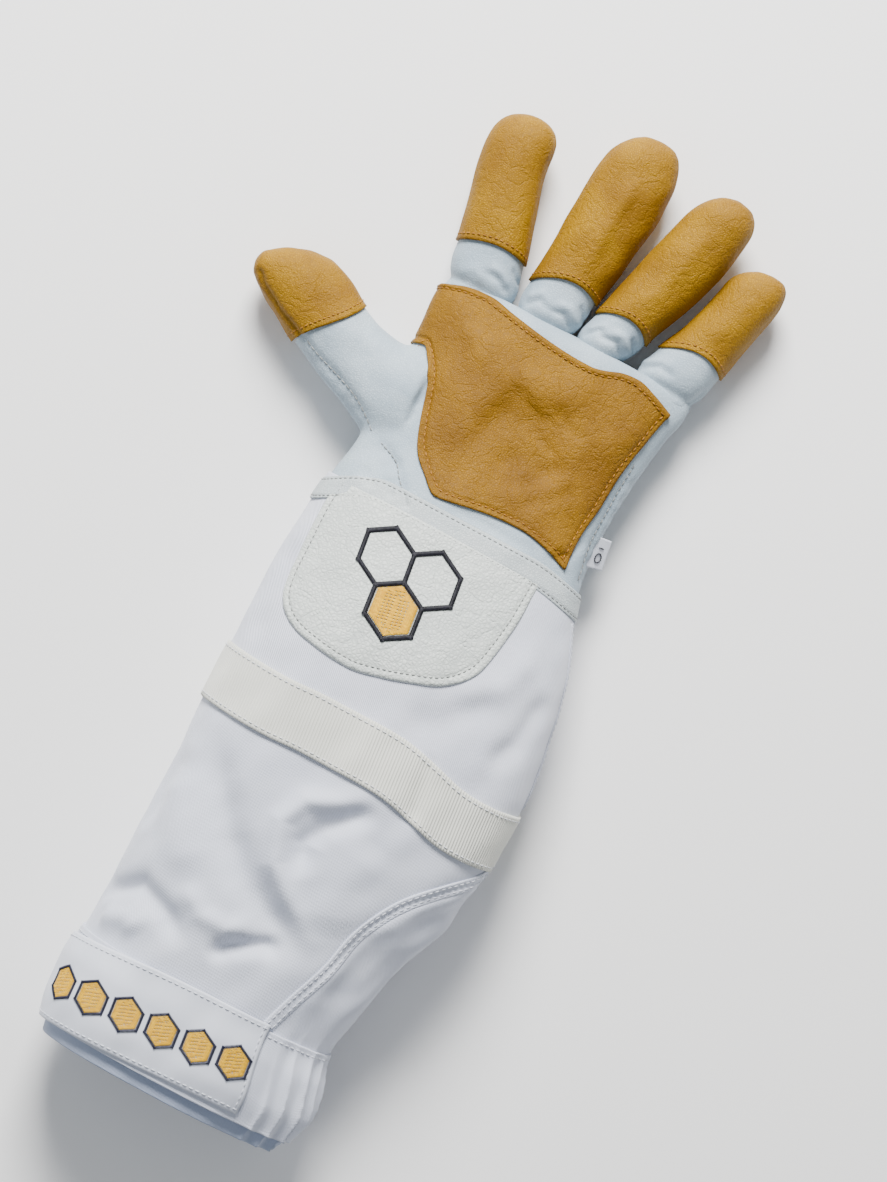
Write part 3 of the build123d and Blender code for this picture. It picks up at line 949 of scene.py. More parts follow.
# %% [markdown]
# ## The palm patch
# The tan patch covers the palm and wraps round its left side. Stitches run three
# millimetres inside its raw edge: they pull the leather down, the edge curls up a little
# and the middle stays plump.

# %% Palm patch
patch_low = [
    (-76, 75), (-66, 75.5), (-57, 77.5), (-53, 73), (-48, 65), (-43, 48), (-37.5, 33),
    (-28, 22.5), (-19, 15.8), (-10, 17), (7, 20), (23, 21), (40, 18), (51, 14),
]
patch_high = [
    (-76, 106), (-64, 107.5), (-52, 111.5), (-40, 112.6), (-27, 110), (-10, 107), (7, 105.2),
    (17, 105), (24, 106.5), (32, 109.5), (40, 110.3), (50, 107.5), (61, 103),
]
patch_side = [(14, 51), (30, 50.3), (47, 52), (67, 53.5), (88, 57.3), (103, 61)]  # (y, x)
PATCH_EDGE = 76.0


def patch_flat(u, v):
    """The patch's columns run up the hand, from its lower edge to its upper one."""
    x_low, x_high = -PATCH_EDGE + 127 * u, -PATCH_EDGE + 137 * u
    y_low = smooth_through(patch_low, x_low)[:, 0]
    y_high = smooth_through(patch_high, x_high)[:, 0]
    y_side = 14 + 89 * v
    bowed = smooth_through(patch_side, y_side)[:, 0] - (51 + 10 * v)
    x = x_low + (x_high - x_low) * v + bowed * u**7
    y = y_low + (y_high - y_low) * v
    return arm.seen(x, y), y


patch_outline = [*patch_low, *[(x, y) for y, x in patch_side[1:]], *patch_high[::-1][1:]]
patch_edge = unrolled(arm, [*patch_outline, patch_outline[0]])
patch_edge = np.array([
    a + (b - a) * f for a, b in zip(patch_edge[:-1], patch_edge[1:]) for f in (0, 0.25, 0.5, 0.75)
] + [patch_edge[-1]])
upper_edge = unrolled(arm, patch_high)


def patch_lift(s, t, u, v):
    inside = from_path(s, t, patch_edge)[0]
    from_top = from_path(s, t, upper_edge)[0]
    plump = 0.7 * (1 - np.exp(-inside / 7)) - 0.55 * bump_at(inside, STITCH_IN, 0.9)
    rolled = 1.1 * bump_at(from_top, 1.8, 1.5)
    return LEATHER + 0.15 + plump + 0.3 * np.exp(-inside) + rolled


palm_patch = panel("palm_patch_leather", arm, 136, 104, patch_flat, patch_lift, on=skin_tree)
face_up(palm_patch)
thicken(palm_patch, LEATHER, rim_slot=1)
print("palm patch:", len(palm_patch.data.polygons), "faces")

# %% [markdown]
# ## The gauntlet
# The upper part is twill, the lower part plain canvas, and the joint between them hides
# under a wide webbing band. All are tubes of the arm form, cut at the seams. The wall gets
# its thickness inwards, so that the outside keeps its size.

# %% Twill, canvas and webbing
CLOTH = 0.8  # thickness of one layer of cloth, in mm
PANEL_JOINT = -113.0
HALF_WEBBING = 14.5
WEBBING, WEBBING_LIFT = 1.3, 1.7  # its thickness, and how far its face stands off the form
webbing_middle = [
    (-95, -108.5), (-72, -104.5), (-40, -106), (-18, -105), (7, -105), (25, -106), (42, -110),
    (57, -114.2), (72, -115.3), (84, -114.5),
]


def ring_edge(form, path, back, shift=0.0):
    """A line all round a form: a path seen from above in front, and level at the back."""
    front = unrolled(form, path)
    half = form.girth_at(path[0][1]) / 2
    level = [(-half, back), (-half * 0.8, back), (half * 0.8, back), (half, back)]
    stations = [*level[:2], *map(tuple, front), *level[2:]]
    return lambda s: smooth_through(stations, s)[..., 0] + shift


def webbing_edge(shift):
    return ring_edge(arm, webbing_middle, -111.0, shift)


def turned_in(s, t):
    """The twill steps up over the leather at the wrist."""
    return 0.3 + 0.9 * (1 - below(t, -10, 3))


upper_sleeve = tube("upper_sleeve_twill", arm, 320, 110, PANEL_JOINT - 1, 3.0, lift=turned_in)
lower_sleeve = tube("lower_sleeve_canvas", arm, 340, 130, -246.0, PANEL_JOINT + 1, lift=0.1)
webbing = tube(
    "webbing_band", arm, 330, 20, webbing_edge(-HALF_WEBBING), webbing_edge(HALF_WEBBING),
    lift=WEBBING_LIFT,
)
thicken(upper_sleeve, CLOTH)
thicken(lower_sleeve, CLOTH)
thicken(webbing, WEBBING)
print("gauntlet:", [len(o.data.polygons) for o in (upper_sleeve, lower_sleeve, webbing)], "faces")

# %% [markdown]
# ## The band at the wrist
# A folded strip covers the seam between leather and cloth. It is a tube again, with a
# raised middle and rolled edges, and it slants down on the thumb's side.

# %% Wrist band
HALF_BAND = 6.2
BAND = 0.9  # thickness of the folded strip


def band_middle(s):
    s = np.asarray(s, float)
    rise = lambda x: np.clip(x, 0, 1) ** 2 * (3 - 2 * np.clip(x, 0, 1))
    return 5.6 - 12 * rise((-s - 38) / 40) - 5 * rise((s - 38) / 40)


def band_profile(s, t):
    across = np.clip(np.abs(t - band_middle(s)) / HALF_BAND, 0, 1)
    puff = 1.0 * np.sqrt(1 - across**6)
    rows = 0.35 * bump_at(across * HALF_BAND, HALF_BAND - 1.8, 0.6)
    behind = 1 - below(np.abs(s), arm.girth_at(5.0) * 0.3, 4)
    scrunch = 0.9 * behind * np.sin(s * 1.15 + 0.6 * np.sin(s * 0.23)) * (1 - across**2)
    return 1.0 + puff - rows + scrunch


wrist_band = tube(
    "wrist_band", arm, 420, 26, lambda s: band_middle(s) - HALF_BAND,
    lambda s: band_middle(s) + HALF_BAND, lift=band_profile,
)
thicken(wrist_band, BAND)
print("wrist band:", len(wrist_band.data.polygons), "faces")

# %% [markdown]
# ## The badge
# A soft leather badge shaped like a shield is sewn to the gauntlet below the wrist band,
# with its edge turned under, so the edge is round and not raw.

# %% Badge
badge_sides = {
    "bottom": [(-62.5, -46), (-60.5, -57), (-56, -64.5), (-49, -69.5), (-35, -73), (-18, -74.5),
               (0, -71), (14, -66.5), (25, -62), (33, -55.5), (38, -48), (40, -41)],
    "right": [(40, -41), (42, -30), (43.3, -18), (44, 1.5)],
    "top": [(-62, 1.5), (-20, 2.5), (44, 1.5)],
    "left": [(-62.5, -46), (-63, -30), (-63, -12), (-62, 1.5)],
}
badge_drawn = {side: unrolled(arm, path) for side, path in badge_sides.items()}
badge_rim = np.vstack([
    smooth_path(badge_drawn["left"][::-1], np.linspace(0, 1, 30)),
    smooth_path(badge_drawn["bottom"], np.linspace(0, 1, 60))[1:],
    smooth_path(badge_drawn["right"], np.linspace(0, 1, 30))[1:],
])


def badge_flat(u, v):
    return four_edges(*(badge_drawn[side] for side in ("bottom", "right", "top", "left")), u, v).T


def badge_lift(s, t, u, v):
    inside = from_path(s, t, badge_rim)[0]
    turned_under = 0.9 * np.sqrt(np.clip(inside / 1.2, 0, 1)) + 0.25 * (1 - np.exp(-inside / 5))
    return 0.9 + turned_under - 0.35 * bump_at(inside, 4.0, 0.8)


badge = panel("badge_leather", arm, 100, 76, badge_flat, badge_lift)
face_up(badge)
thicken(badge, CLOTH)
print("badge:", len(badge.data.polygons), "faces")

# %% [markdown]
# ## The elastic cuff and its label
# The casing is the canvas doubled over the elastic, so it is thicker and starts with a
# small step. Inside it the lining turns out and shows below the hem, in a darker bluish grey
# that is partly its own colour and partly painted shade, the shade under the label. The label
# lies flat over the pleats and its left end disappears round the side.

# %% Cuff, lining and label
CASING_TOP, CASING_END, LINING_END = -241.5, -287.0, -294.0
CASING, LINING, TAPE = 1.2, 1.0, 0.6  # thicknesses


def casing_lift(s, t):
    hem = 0.5 * np.exp(-(t - CASING_END) / 2.0)
    return 1.3 + np.clip(hem, 0, 0.5)


casing = tube("cuff_casing_cloth", arm, 460, 64, CASING_END, CASING_TOP, lift=casing_lift)
thicken(casing, CASING)
# The lining's darker, bluer tones are partly painted shade: the shade under the label and the hem.
lining = tube("cuff_lining_cloth", arm, 380, 70, LINING_END, -244.0, lift=-1.0)
thicken(lining, LINING)
label_sides = {
    "bottom": [(-78, -290.5), (-70, -289.3), (-43, -286.3), (7, -283.6), (34, -283)],
    "right": [(34, -283), (32, -262), (29, -238.5)],
    "top": [(-80, -248.5), (-73, -247), (-60, -243.5), (-18, -239.5), (29, -238.5)],
    "left": [(-78, -290.5), (-80, -270), (-80, -248.5)],
}
label_drawn = {side: unrolled(arm, path) for side, path in label_sides.items()}


def label_flat(u, v):
    return four_edges(*(label_drawn[side] for side in ("bottom", "right", "top", "left")), u, v).T


label = panel("label_tape_cloth", arm, 96, 40, label_flat, lambda s, t, u, v: 2.6 + 0.2 * np.sin(9 * v))
face_up(label)
thicken(label, TAPE)
print("cuff:", [len(o.data.polygons) for o in (casing, lining, label)], "faces")

# %% [markdown]
# ## Felled side seams
# The right-hand seam of the sleeve swings forward to the cuff. One edge is folded over the
# other and sewn down twice. The left-hand seam stays at the side.

# %% Side seams
def ribbon(name, form, path, width, lift, along=120, across=10):
    """A strip of one width along a path on the unrolled skin; lift is a height or a profile."""
    path = np.array(path, float)
    half = width / 2

    def flat(u, v):
        here = smooth_path(path, v)
        step = smooth_path(path, np.clip(v + 0.01, 0, 1)) - smooth_path(path, np.clip(v - 0.01, 0, 1))
        step /= np.linalg.norm(step, axis=1)[:, None]
        offset = (2 * u - 1) * half
        return here[:, 0] + step[:, 1] * offset, here[:, 1] - step[:, 0] * offset

    height = (lambda s, t, u, v: lift(2 * u - 1)) if callable(lift) else lift
    return panel(name, form, across, along, flat, height)


def folded(across):
    """The section of a felled seam: high along one edge, low at the other."""
    return 0.35 + 0.8 * np.sqrt(np.clip(1 - np.abs(across) ** 4, 0, 1)) + 0.25 * across


FELLED = 0.9  # thickness of the folded edge
right_seam_path = unrolled(arm, [(66.0, -6), (75, -28), (82, -50), (86, -72), (87.5, -96)])
right_seam_low = unrolled(arm, [
    (88.5, -126), (83, -135), (70, -147.5), (58, -160.5), (48, -178), (42, -200), (35, -220), (28.5, -240),
])
left_seam_path = np.array([(-arm.girth_at(y) * 0.285, y) for y in (-10, -60, -100, -150, -200, -242)])
seams = {
    "right_side_seam_strip": ribbon("right_side_seam_strip", arm, right_seam_path, 6.5, folded),
    "right_front_seam_strip": ribbon("right_front_seam_strip", arm, right_seam_low, 7.0, folded, along=150),
    "left_side_seam_strip": ribbon("left_side_seam_strip", arm, left_seam_path, 6.5, folded, along=160),
}
for strip in seams.values():
    close_up(strip)
    thicken(strip, FELLED)
print(len(seams), "seam strips")

# %% [markdown]
# ## Thread
# A stitch is a short piece of thread with a low arch and round ends. One is made from a
# sphere with few faces, repeated with an Array modifier, and each copy is moved to its
# place in the row. The same stitch, longer and closer together, makes satin embroidery.

# %% Stitches
THREAD_SIDES, THREAD_RINGS = 6, 5
THREAD_FACES = THREAD_SIDES * THREAD_RINGS  # faces of one thread


def threads(name, starts, ends, normals, radius=0.3, arch=0.3):
    """One piece of many short threads, each from a start to an end, in mm."""
    bpy.ops.object.select_all(action="DESELECT")
    bpy.ops.mesh.primitive_uv_sphere_add(segments=THREAD_SIDES, ring_count=THREAD_RINGS, radius=1)
    piece = bpy.context.object
    piece.name = piece.data.name = name
    one = positions(piece)
    add_modifier(piece, "ARRAY", count=len(starts))
    starts, ends, normals = (np.array(x, float) for x in (starts, ends, normals))
    half = (ends - starts) / 2
    sideways = np.cross(normals, half)
    sideways /= np.maximum(np.linalg.norm(sideways, axis=1), 1e-9)[:, None]
    x, y, z = one.T
    blunt = np.maximum(np.hypot(x, y), 1e-6) ** -0.5  # rounder ends than a sphere's
    across = (radius * x * blunt)[None, :, None] * sideways[:, None]
    upwards = (radius * y * blunt + arch * (1 - z * z))[None, :, None] * normals[:, None]
    points = (starts + half)[:, None] + z[None, :, None] * half[:, None] + across + upwards
    move_points(piece, (points.reshape(-1, 3) + wrist_seam) * MM)
    only(piece)
    bpy.ops.object.shade_smooth()
    return piece


def count_threads(*pieces):
    return sum(len(piece.data.polygons) for piece in pieces) // THREAD_FACES


print("one stitch has", THREAD_FACES, "faces")

# %% [markdown]
# ## Rows of stitches
# A sewing machine makes equal stitches, so a row is a path cut into equal steps with a
# small gap after each. The path is drawn on the unrolled skin and settled on the piece
# that it sews down, so it follows every fold.

# %% Row tools
def sewn_row(name, form, path, on, length=2.3, gap=0.9, radius=0.3):
    """A row of stitches along a path on the unrolled skin, settled on a piece."""
    tree = tree_of(on)
    path = np.array(path, float)
    total = np.linalg.norm(np.diff(path, axis=0), axis=1).sum()
    count = max(int(total / (length + gap)), 2)
    first = np.arange(count) / count
    share = length / (length + gap) / count
    ends_of_thread = []
    for shift in (0.0, share):
        here = smooth_path(path, first + shift)
        points, normals = form.point(here[:, 0], here[:, 1])
        ends_of_thread.append(settle(points, normals, tree, 0.02))
    return threads(name, *ends_of_thread, normals, radius)


def joined(name, parts):
    """Several pieces as one."""
    only(parts[0])
    for part in parts[1:]:
        part.select_set(True)
    bpy.ops.object.join()
    piece = bpy.context.object
    piece.name = piece.data.name = name
    return piece


def inset(path, middle, away):
    """A drawn path moved so many mm towards a middle point."""
    path = np.array(path, float)
    step = np.gradient(path, axis=0)
    step /= np.linalg.norm(step, axis=1)[:, None]
    side = np.stack([-step[:, 1], step[:, 0]], -1)
    inwards = np.sign(((np.array(middle) - path) * side).sum(axis=1, keepdims=True))
    return path + inwards * side * away


print("rows can follow an edge")

# %% [markdown]
# ## Sewing everything down
# Brown thread shows on the tan leather, grey on the white leather, white on the cloth. The
# side seams and the webbing are sewn twice, as working gear is.

# %% All rows
patch_inside = inset(smooth_path(patch_edge, np.linspace(0, 1, 90)), (5, 65), STITCH_IN)
on_patch = (patch_inside[:, 0] > float(arm.seen(-66, 90)[()]) - 5)
patch_row = sewn_row("patch_stitches", arm, patch_inside[on_patch], palm_patch, length=2.2, gap=1.0)

hem_rows = {}
for name, form in fingers.items():
    s = np.linspace(-0.5, 0.5, 60) * form.girth_at(136.0)
    path = np.stack([s, hem_line(name, s, form, STITCH_IN)], -1)
    hem_rows[name] = sewn_row(f"{name}_hem_stitches", form, path, caps[name], length=2.0, gap=0.9)
s = np.linspace(-0.5, 0.5, 60) * thumb.girth_at(-107.0)
path = np.stack([s, thumb_hem(s, STITCH_IN)], -1)
hem_rows["thumb"] = sewn_row("thumb_hem_stitches", thumb, path, caps["thumb"], length=2.0, gap=0.9)

fine_thread = {"length": 1.9, "gap": 0.9, "radius": 0.26}
badge_row = sewn_row("badge_stitches", arm, inset(badge_rim, (-10, -20), 4.0), badge, **fine_thread)
round_band = np.linspace(-0.5, 0.5, 120) * arm.girth_at(6.0)
band_rows = joined("band_stitches", [
    sewn_row(
        "band_row", arm, np.stack([round_band, band_middle(round_band) + side], -1), wrist_band,
        **fine_thread,
    )
    for side in (HALF_BAND - 1.8, 1.8 - HALF_BAND)
])
around = np.linspace(-0.5, 0.5, 160) * arm.girth_at(-110.0)
webbing_rows = joined("webbing_stitches", [
    sewn_row("webbing_row", arm, np.stack([around, webbing_edge(side)(around)], -1), webbing, radius=0.24)
    for side in (HALF_WEBBING - 2.2, 2.2 - HALF_WEBBING)
])
label_middle = (-40, -265)
label_rows = joined("label_stitches", [
    sewn_row("label_row", arm, inset(label_drawn[side], label_middle, 2.2), label, radius=0.26)
    for side in ("top", "bottom", "right")
])
seam_rows = joined("seam_stitches", [
    sewn_row("seam_row", arm, inset(path, (side * 1000, 0), 1.6), seams[strip], radius=0.24)
    for strip, path in (
        ("right_side_seam_strip", right_seam_path), ("right_front_seam_strip", right_seam_low),
        ("left_side_seam_strip", left_seam_path),
    )
    for side in (-1, 1)
])
around = np.linspace(-0.5, 0.5, 160) * arm.girth_at(-245.0)
casing_row = sewn_row("casing_stitches", arm, np.stack([around, 0 * around - 244.0], -1), casing, radius=0.26)
all_rows = [patch_row, badge_row, band_rows, webbing_rows, label_rows, seam_rows, casing_row]
print("stitches sewn:", count_threads(*all_rows, *hem_rows.values()))

# %% [markdown]
# ## Embroidery
# A honeycomb in satin stitch stands on the badge: dark threads laid side by side across
# each wall, and long gold threads that fill one cell. The label carries a row of small
# gold cells. Every thread is arched, so light breaks on it as it does on floss.

# %% Satin stitch
CELL = 14.0  # radius of a cell on the badge
SATIN = 0.46  # from one thread to the next
THREAD_LIFT = 0.12  # how far embroidery stands off the cloth


def cell_corners(middle, radius):
    """The corners of a cell that stands on a point, with the first one repeated at the end."""
    angles = math.pi / 6 + np.arange(7) * math.pi / 3
    return np.stack([middle[0] + radius * np.cos(angles), middle[1] + radius * np.sin(angles)], -1)


def satin_walls(walls, width, pitch):
    """Threads across each wall; walls are pairs of corners."""
    starts, ends = [], []
    for a, b in walls:
        along = (b - a) / np.linalg.norm(b - a)
        across = np.array([-along[1], along[0]]) * width / 2
        reach = np.linalg.norm(b - a) + width * 0.5
        for step in np.arange(-width * 0.25, reach, pitch):
            place = a + along * step
            lean = along * 0.25 * pitch
            starts.append(place - across - lean)
            ends.append(place + across + lean)
    return np.array(starts), np.array(ends)


def filled_cell(middle, radius, pitch, longest):
    """Level threads that fill a cell, in runs, with joints that step like brickwork."""
    starts, ends = [], []
    for row, up in enumerate(np.arange(-radius * 0.98, radius * 0.98, pitch)):
        reach = radius * math.cos(math.pi / 6)
        if abs(up) > radius / 2:
            reach *= 2 * (1 - abs(up) / radius)
        runs = max(int(math.ceil(2 * reach / longest)), 1)
        cuts = np.linspace(-reach, reach, runs + 1)
        cuts[1:-1] += (row % 3 - 1) * longest * 0.22
        for a, b in zip(cuts[:-1], cuts[1:]):
            starts.append((middle[0] + a, middle[1] + up))
            ends.append((middle[0] + b, middle[1] + up))
    return np.array(starts), np.array(ends)


def embroider(name, starts, ends, on, radius, arch):
    """Threads drawn on the unrolled skin, settled on a piece."""
    tree = tree_of(on)
    places = []
    for drawn in (starts, ends):
        points, normals = arm.point(drawn[:, 0], drawn[:, 1])
        places.append(settle(points, normals, tree, THREAD_LIFT))
    return threads(name, *places, normals, radius, arch)


print("satin stitch is ready")

# %% [markdown]
# ## A honeycomb on the badge
# Three cells share their walls. Each wall is sewn once, so the walls are kept by their
# middle points: two cells that name the same wall name it by the same point.

# %% Badge embroidery
CELL_MIDDLE = unrolled(arm, [(-12.0, -30.6)])[0]
row_height, half_pitch = 0.75 * CELL, CELL * math.cos(math.pi / 6)
cell_offsets = ([-half_pitch, row_height], [half_pitch, row_height], [0, -row_height])
cells = [CELL_MIDDLE + offset for offset in cell_offsets]
walls = {}
for middle in cells:
    corners = cell_corners(middle, CELL)
    for a, b in zip(corners[:-1], corners[1:]):
        walls[tuple(np.round((a + b) / 2, 1))] = (a, b)
badge_gold = embroider(
    "badge_gold_threads", *filled_cell(cells[2], CELL - 1.5, 0.5, 9.0), badge, 0.3, arch=0.12
)
badge_dark = embroider("badge_dark_threads", *satin_walls(walls.values(), 2.6, SATIN), badge, 0.3, arch=0.75)
print(len(walls), "walls; threads on the badge:", count_threads(badge_gold, badge_dark))

# %% [markdown]
# ## A row of cells on the label
# The cells are set out on the flat label and rolled on with it, so those at its end turn
# away round the side of the cuff, as a printed row would.

# %% Label embroidery
LABEL_CELL, LABEL_CELLS = 8.4, 6
label_row_line = unrolled(arm, [(-64.0, -268.0), (22.0, -261.5)])
label_gold, label_walls = [], []
for number in range(LABEL_CELLS):
    middle = label_row_line[0] + (label_row_line[1] - label_row_line[0]) * number / (LABEL_CELLS - 1)
    label_gold.append(filled_cell(middle, LABEL_CELL - 0.8, 0.56, 5.5))
    corners = cell_corners(middle, LABEL_CELL)
    label_walls += list(zip(corners[:-1], corners[1:]))
label_gold_threads = embroider(
    "label_gold_threads", *(np.vstack(part) for part in zip(*label_gold)), label, 0.3, arch=0.12
)
label_dark_threads = embroider("label_dark_threads", *satin_walls(label_walls, 1.5, 0.6), label, 0.28, 0.45)
print("threads on the label:", count_threads(label_gold_threads, label_dark_threads))

# %% [markdown]
# ## Size tag
# A small satin tag is caught in the side seam and stands off it. It is one sheet, drawn by
# its four corners, and its number is made of short straight threads.

# %% Size tag
tag_corners = np.array([(56.9, 35.5), (65.5, 36.8), (68.0, 22.0), (57.6, 19.6)])  # seen from above
TAG_HEIGHT = 24.0
TAG = 0.4  # thickness of the satin


def tag_shape(u, v):
    a, b = u[:, None], v[:, None]
    p0, p1, p2, p3 = tag_corners
    seen = (1 - a) * (1 - b) * p3 + a * (1 - b) * p2 + a * b * p1 + (1 - a) * b * p0
    tilt = TAG_HEIGHT + 6 - 9.0 * u + 1.2 * np.sin(u * math.pi)
    return np.column_stack([seen, tilt])


def tag_flat(u, v):
    return u * 10.0, v * 15.0


tag = sheet("size_tag_cloth", 14, 18, tag_shape, tag_flat)
face_up(tag)
thicken(tag, TAG)
ring = np.linspace(0, 2 * math.pi, 15)
digit_paths = [
    np.array([(0.62, 0.32), (0.30, 0.32)]),
    np.stack([0.46 + 0.17 * np.cos(ring), 0.64 + 0.15 * np.sin(ring)], -1),
]
tag_starts, tag_ends = [], []
for drawn in digit_paths:
    placed = tag_shape(1 - drawn[:, 0] * 0.9, 1 - drawn[:, 1]) + np.array([0.1, 0, 0.35])
    tag_starts += list(placed[:-1])
    tag_ends += list(placed[1:])
TAG_FACING = (0.55, 0, 0.83)
facing = np.tile(TAG_FACING, (len(tag_starts), 1))
tag_digits = threads("size_tag_threads", tag_starts, tag_ends, facing, 0.35, 0.1)
print("the tag has", len(tag_starts), "threads")

# %% [markdown]
# ## Thread in the grooves
# The seams of the leather hand are turned, so only grey stitches show at the bottom of their
# grooves. They are longer and closer together than the rows on the surface.

# %% Seam threads
in_groove = {"length": 2.6, "gap": 0.3}
thumb_seam_thread = sewn_row(
    "thumb_seam_thread", thumb, unrolled(thumb, [(-108, 52), *thumb_seam[4:]]), thumb_leather, **in_groove
)
wrist_seam_thread = sewn_row(
    "wrist_seam_thread", arm, unrolled(arm, [(-57, 27.5), *wrist_seam_path[1:]]), hand_leather, **in_groove
)
hand_side_thread = sewn_row(
    "hand_side_thread", arm, unrolled(arm, hand_side_seam), hand_leather, **in_groove
)
print("threads in grooves:", count_threads(thumb_seam_thread, wrist_seam_thread, hand_side_thread))

# %% [markdown]
# ## Effects shared by the materials
# Leather grain, a weave and wear are each needed by several materials, so each is a node
# group: a small machine with named inputs, which gives only heights and masks. The shader
# itself stays in each material. Grain reads Object coordinates, because leather has no
# direction; a weave reads the UV map, because thread follows the cut of the cloth.

# %% Node tools
def new_group(name, inputs, outputs):
    """An empty node group with its sockets; inputs are name: default."""
    group = bpy.data.node_groups.new(name, "ShaderNodeTree")
    for label_, default in inputs.items():
        kind = "NodeSocketVector" if default is None else "NodeSocketFloat"
        socket = group.interface.new_socket(label_, in_out="INPUT", socket_type=kind)
        if default is not None:
            socket.default_value = default
    for label_ in outputs:
        group.interface.new_socket(label_, in_out="OUTPUT", socket_type="NodeSocketFloat")
    return group, group.nodes.new("NodeGroupInput"), group.nodes.new("NodeGroupOutput")


def math_node(tree, operation, a, b=None, clamp=False):
    """One sum in a node tree; a and b are sockets or plain numbers."""
    node = tree.nodes.new("ShaderNodeMath")
    node.operation, node.use_clamp = operation, clamp
    for value, socket in ((a, node.inputs[0]), (b, node.inputs[1])):
        if isinstance(value, (int, float)):
            socket.default_value = value
        elif value is not None:
            tree.links.new(value, socket)
    return node.outputs[0]


def scaled(tree, vector, scale):
    """A vector times a socket or a number."""
    node = tree.nodes.new("ShaderNodeVectorMath")
    node.operation = "SCALE"
    tree.links.new(vector, node.inputs[0])
    if isinstance(scale, (int, float)):
        node.inputs["Scale"].default_value = scale
    else:
        tree.links.new(scale, node.inputs["Scale"])
    return node.outputs[0]


def noise(tree, vector, scale, detail=2.0, distortion=0.0):
    node = tree.nodes.new("ShaderNodeTexNoise")
    tree.links.new(vector, node.inputs["Vector"])
    node.inputs["Scale"].default_value = scale
    node.inputs["Detail"].default_value = detail
    node.inputs["Distortion"].default_value = distortion
    return node.outputs["Fac"]


print("node tools are ready")

# %% [markdown]
# ## Leather grain
# A Voronoi texture that gives the distance to a cell's edge makes pebbles with valleys
# between them. A noise, folded at its middle value, makes lines that wander: the creases.

# %% Grain
def make_grain():
    """Pebbled leather: cells parted by fine valleys, and creases that wander across them."""
    group, given, out = new_group(
        "leather_grain", {"Vector": None, "Cell size": 1.2, "Creases": 0.5}, ("Height", "Valleys")
    )
    per_cell = math_node(group, "DIVIDE", 1000.0, given.outputs["Cell size"])
    vector = scaled(group, given.outputs["Vector"], per_cell)
    cells = group.nodes.new("ShaderNodeTexVoronoi")
    cells.feature = "DISTANCE_TO_EDGE"
    cells.inputs["Scale"].default_value = 1.0
    cells.inputs["Randomness"].default_value = 0.95
    group.links.new(vector, cells.inputs["Vector"])
    pebble = math_node(group, "MULTIPLY", cells.outputs["Distance"], 3.2, clamp=True)
    wander = noise(group, vector, 0.16, detail=3.0, distortion=0.6)
    ridge = math_node(group, "ABSOLUTE", math_node(group, "SUBTRACT", wander, 0.5))
    crease = math_node(group, "MULTIPLY", ridge, 14.0, clamp=True)
    crease_depth = math_node(group, "SUBTRACT", crease, 1.0)
    height = math_node(
        group, "ADD", math_node(group, "MULTIPLY", pebble, 0.5),
        math_node(group, "MULTIPLY", crease_depth, given.outputs["Creases"]),
    )
    fine = math_node(group, "MULTIPLY", noise(group, vector, 3.5, detail=2.0), 0.15)
    group.links.new(math_node(group, "ADD", height, fine), out.inputs["Height"])
    group.links.new(math_node(group, "SUBTRACT", 1.0, pebble), out.inputs["Valleys"])
    return group


grain_group = make_grain()
print("grain gives", [item.name for item in grain_group.interface.items_tree if item.in_out == "OUTPUT"])

# %% [markdown]
# ## Weave
# Threads that cross are two sines multiplied; a twill is one sine of both directions
# added, which makes diagonal ribs. A slow noise lets some threads stand higher, as slubs do.

# %% Weave
def make_weave():
    """Woven cloth from plain (Twill 0) to twill (Twill 1), in threads of one pitch in mm."""
    group, given, out = new_group(
        "weave", {"Vector": None, "Pitch": 0.9, "Twill": 0.0}, ("Height", "Gaps")
    )
    per_thread = math_node(group, "DIVIDE", 2000.0 * math.pi, given.outputs["Pitch"])
    turns = scaled(group, given.outputs["Vector"], per_thread)
    parts = group.nodes.new("ShaderNodeSeparateXYZ")
    group.links.new(turns, parts.inputs[0])
    u, v = parts.outputs["X"], parts.outputs["Y"]
    plain = math_node(group, "MULTIPLY", math_node(group, "SINE", u), math_node(group, "SINE", v))
    twill = math_node(group, "SINE", math_node(group, "ADD", u, v))
    kind = group.nodes.new("ShaderNodeMix")
    for value, socket in ((given.outputs["Twill"], 0), (plain, 2), (twill, 3)):
        group.links.new(value, kind.inputs[socket])
    slub = math_node(group, "MULTIPLY", noise(group, turns, 0.11, detail=2.0), 0.6)
    height = math_node(group, "ADD", math_node(group, "MULTIPLY", kind.outputs[0], 0.5), slub)
    group.links.new(height, out.inputs["Height"])
    gaps = math_node(group, "MULTIPLY", kind.outputs[0], -0.5)
    group.links.new(math_node(group, "ADD", gaps, 0.5, clamp=True), out.inputs["Gaps"])
    return group


weave_group = make_weave()
print("weave takes", [item.name for item in weave_group.interface.items_tree if item.in_out == "INPUT"])

# %% [markdown]
# ## Wear
# Nothing that is used stays one colour. The mask of this group is a soft, blotchy noise,
# and its contrast says how clearly the blotches stand out.

# %% Wear
def make_wear():
    """Soft blotches where hands and light have changed a surface."""
    group, given, out = new_group("wear", {"Vector": None, "Size": 30.0, "Contrast": 2.0}, ("Mask",))
    per_blotch = math_node(group, "DIVIDE", 1000.0, given.outputs["Size"])
    field = noise(group, scaled(group, given.outputs["Vector"], per_blotch), 1.0, detail=3.0, distortion=0.3)
    spread = math_node(
        group, "MULTIPLY", math_node(group, "SUBTRACT", field, 0.5), given.outputs["Contrast"]
    )
    group.links.new(math_node(group, "ADD", spread, 0.5, clamp=True), out.inputs["Mask"])
    return group


groups = {"grain": grain_group, "weave": weave_group, "wear": make_wear()}
print("node groups:", ", ".join(groups))

# %% [markdown]
# ## Materials
# A material mixes two near colours by the wear mask, darkens the valleys of the grain or
# the gaps of the weave, and feeds the height to a Bump node. Sheen gives cloth its soft
# edge. Colours are written as they look on a screen and turned into linear light.

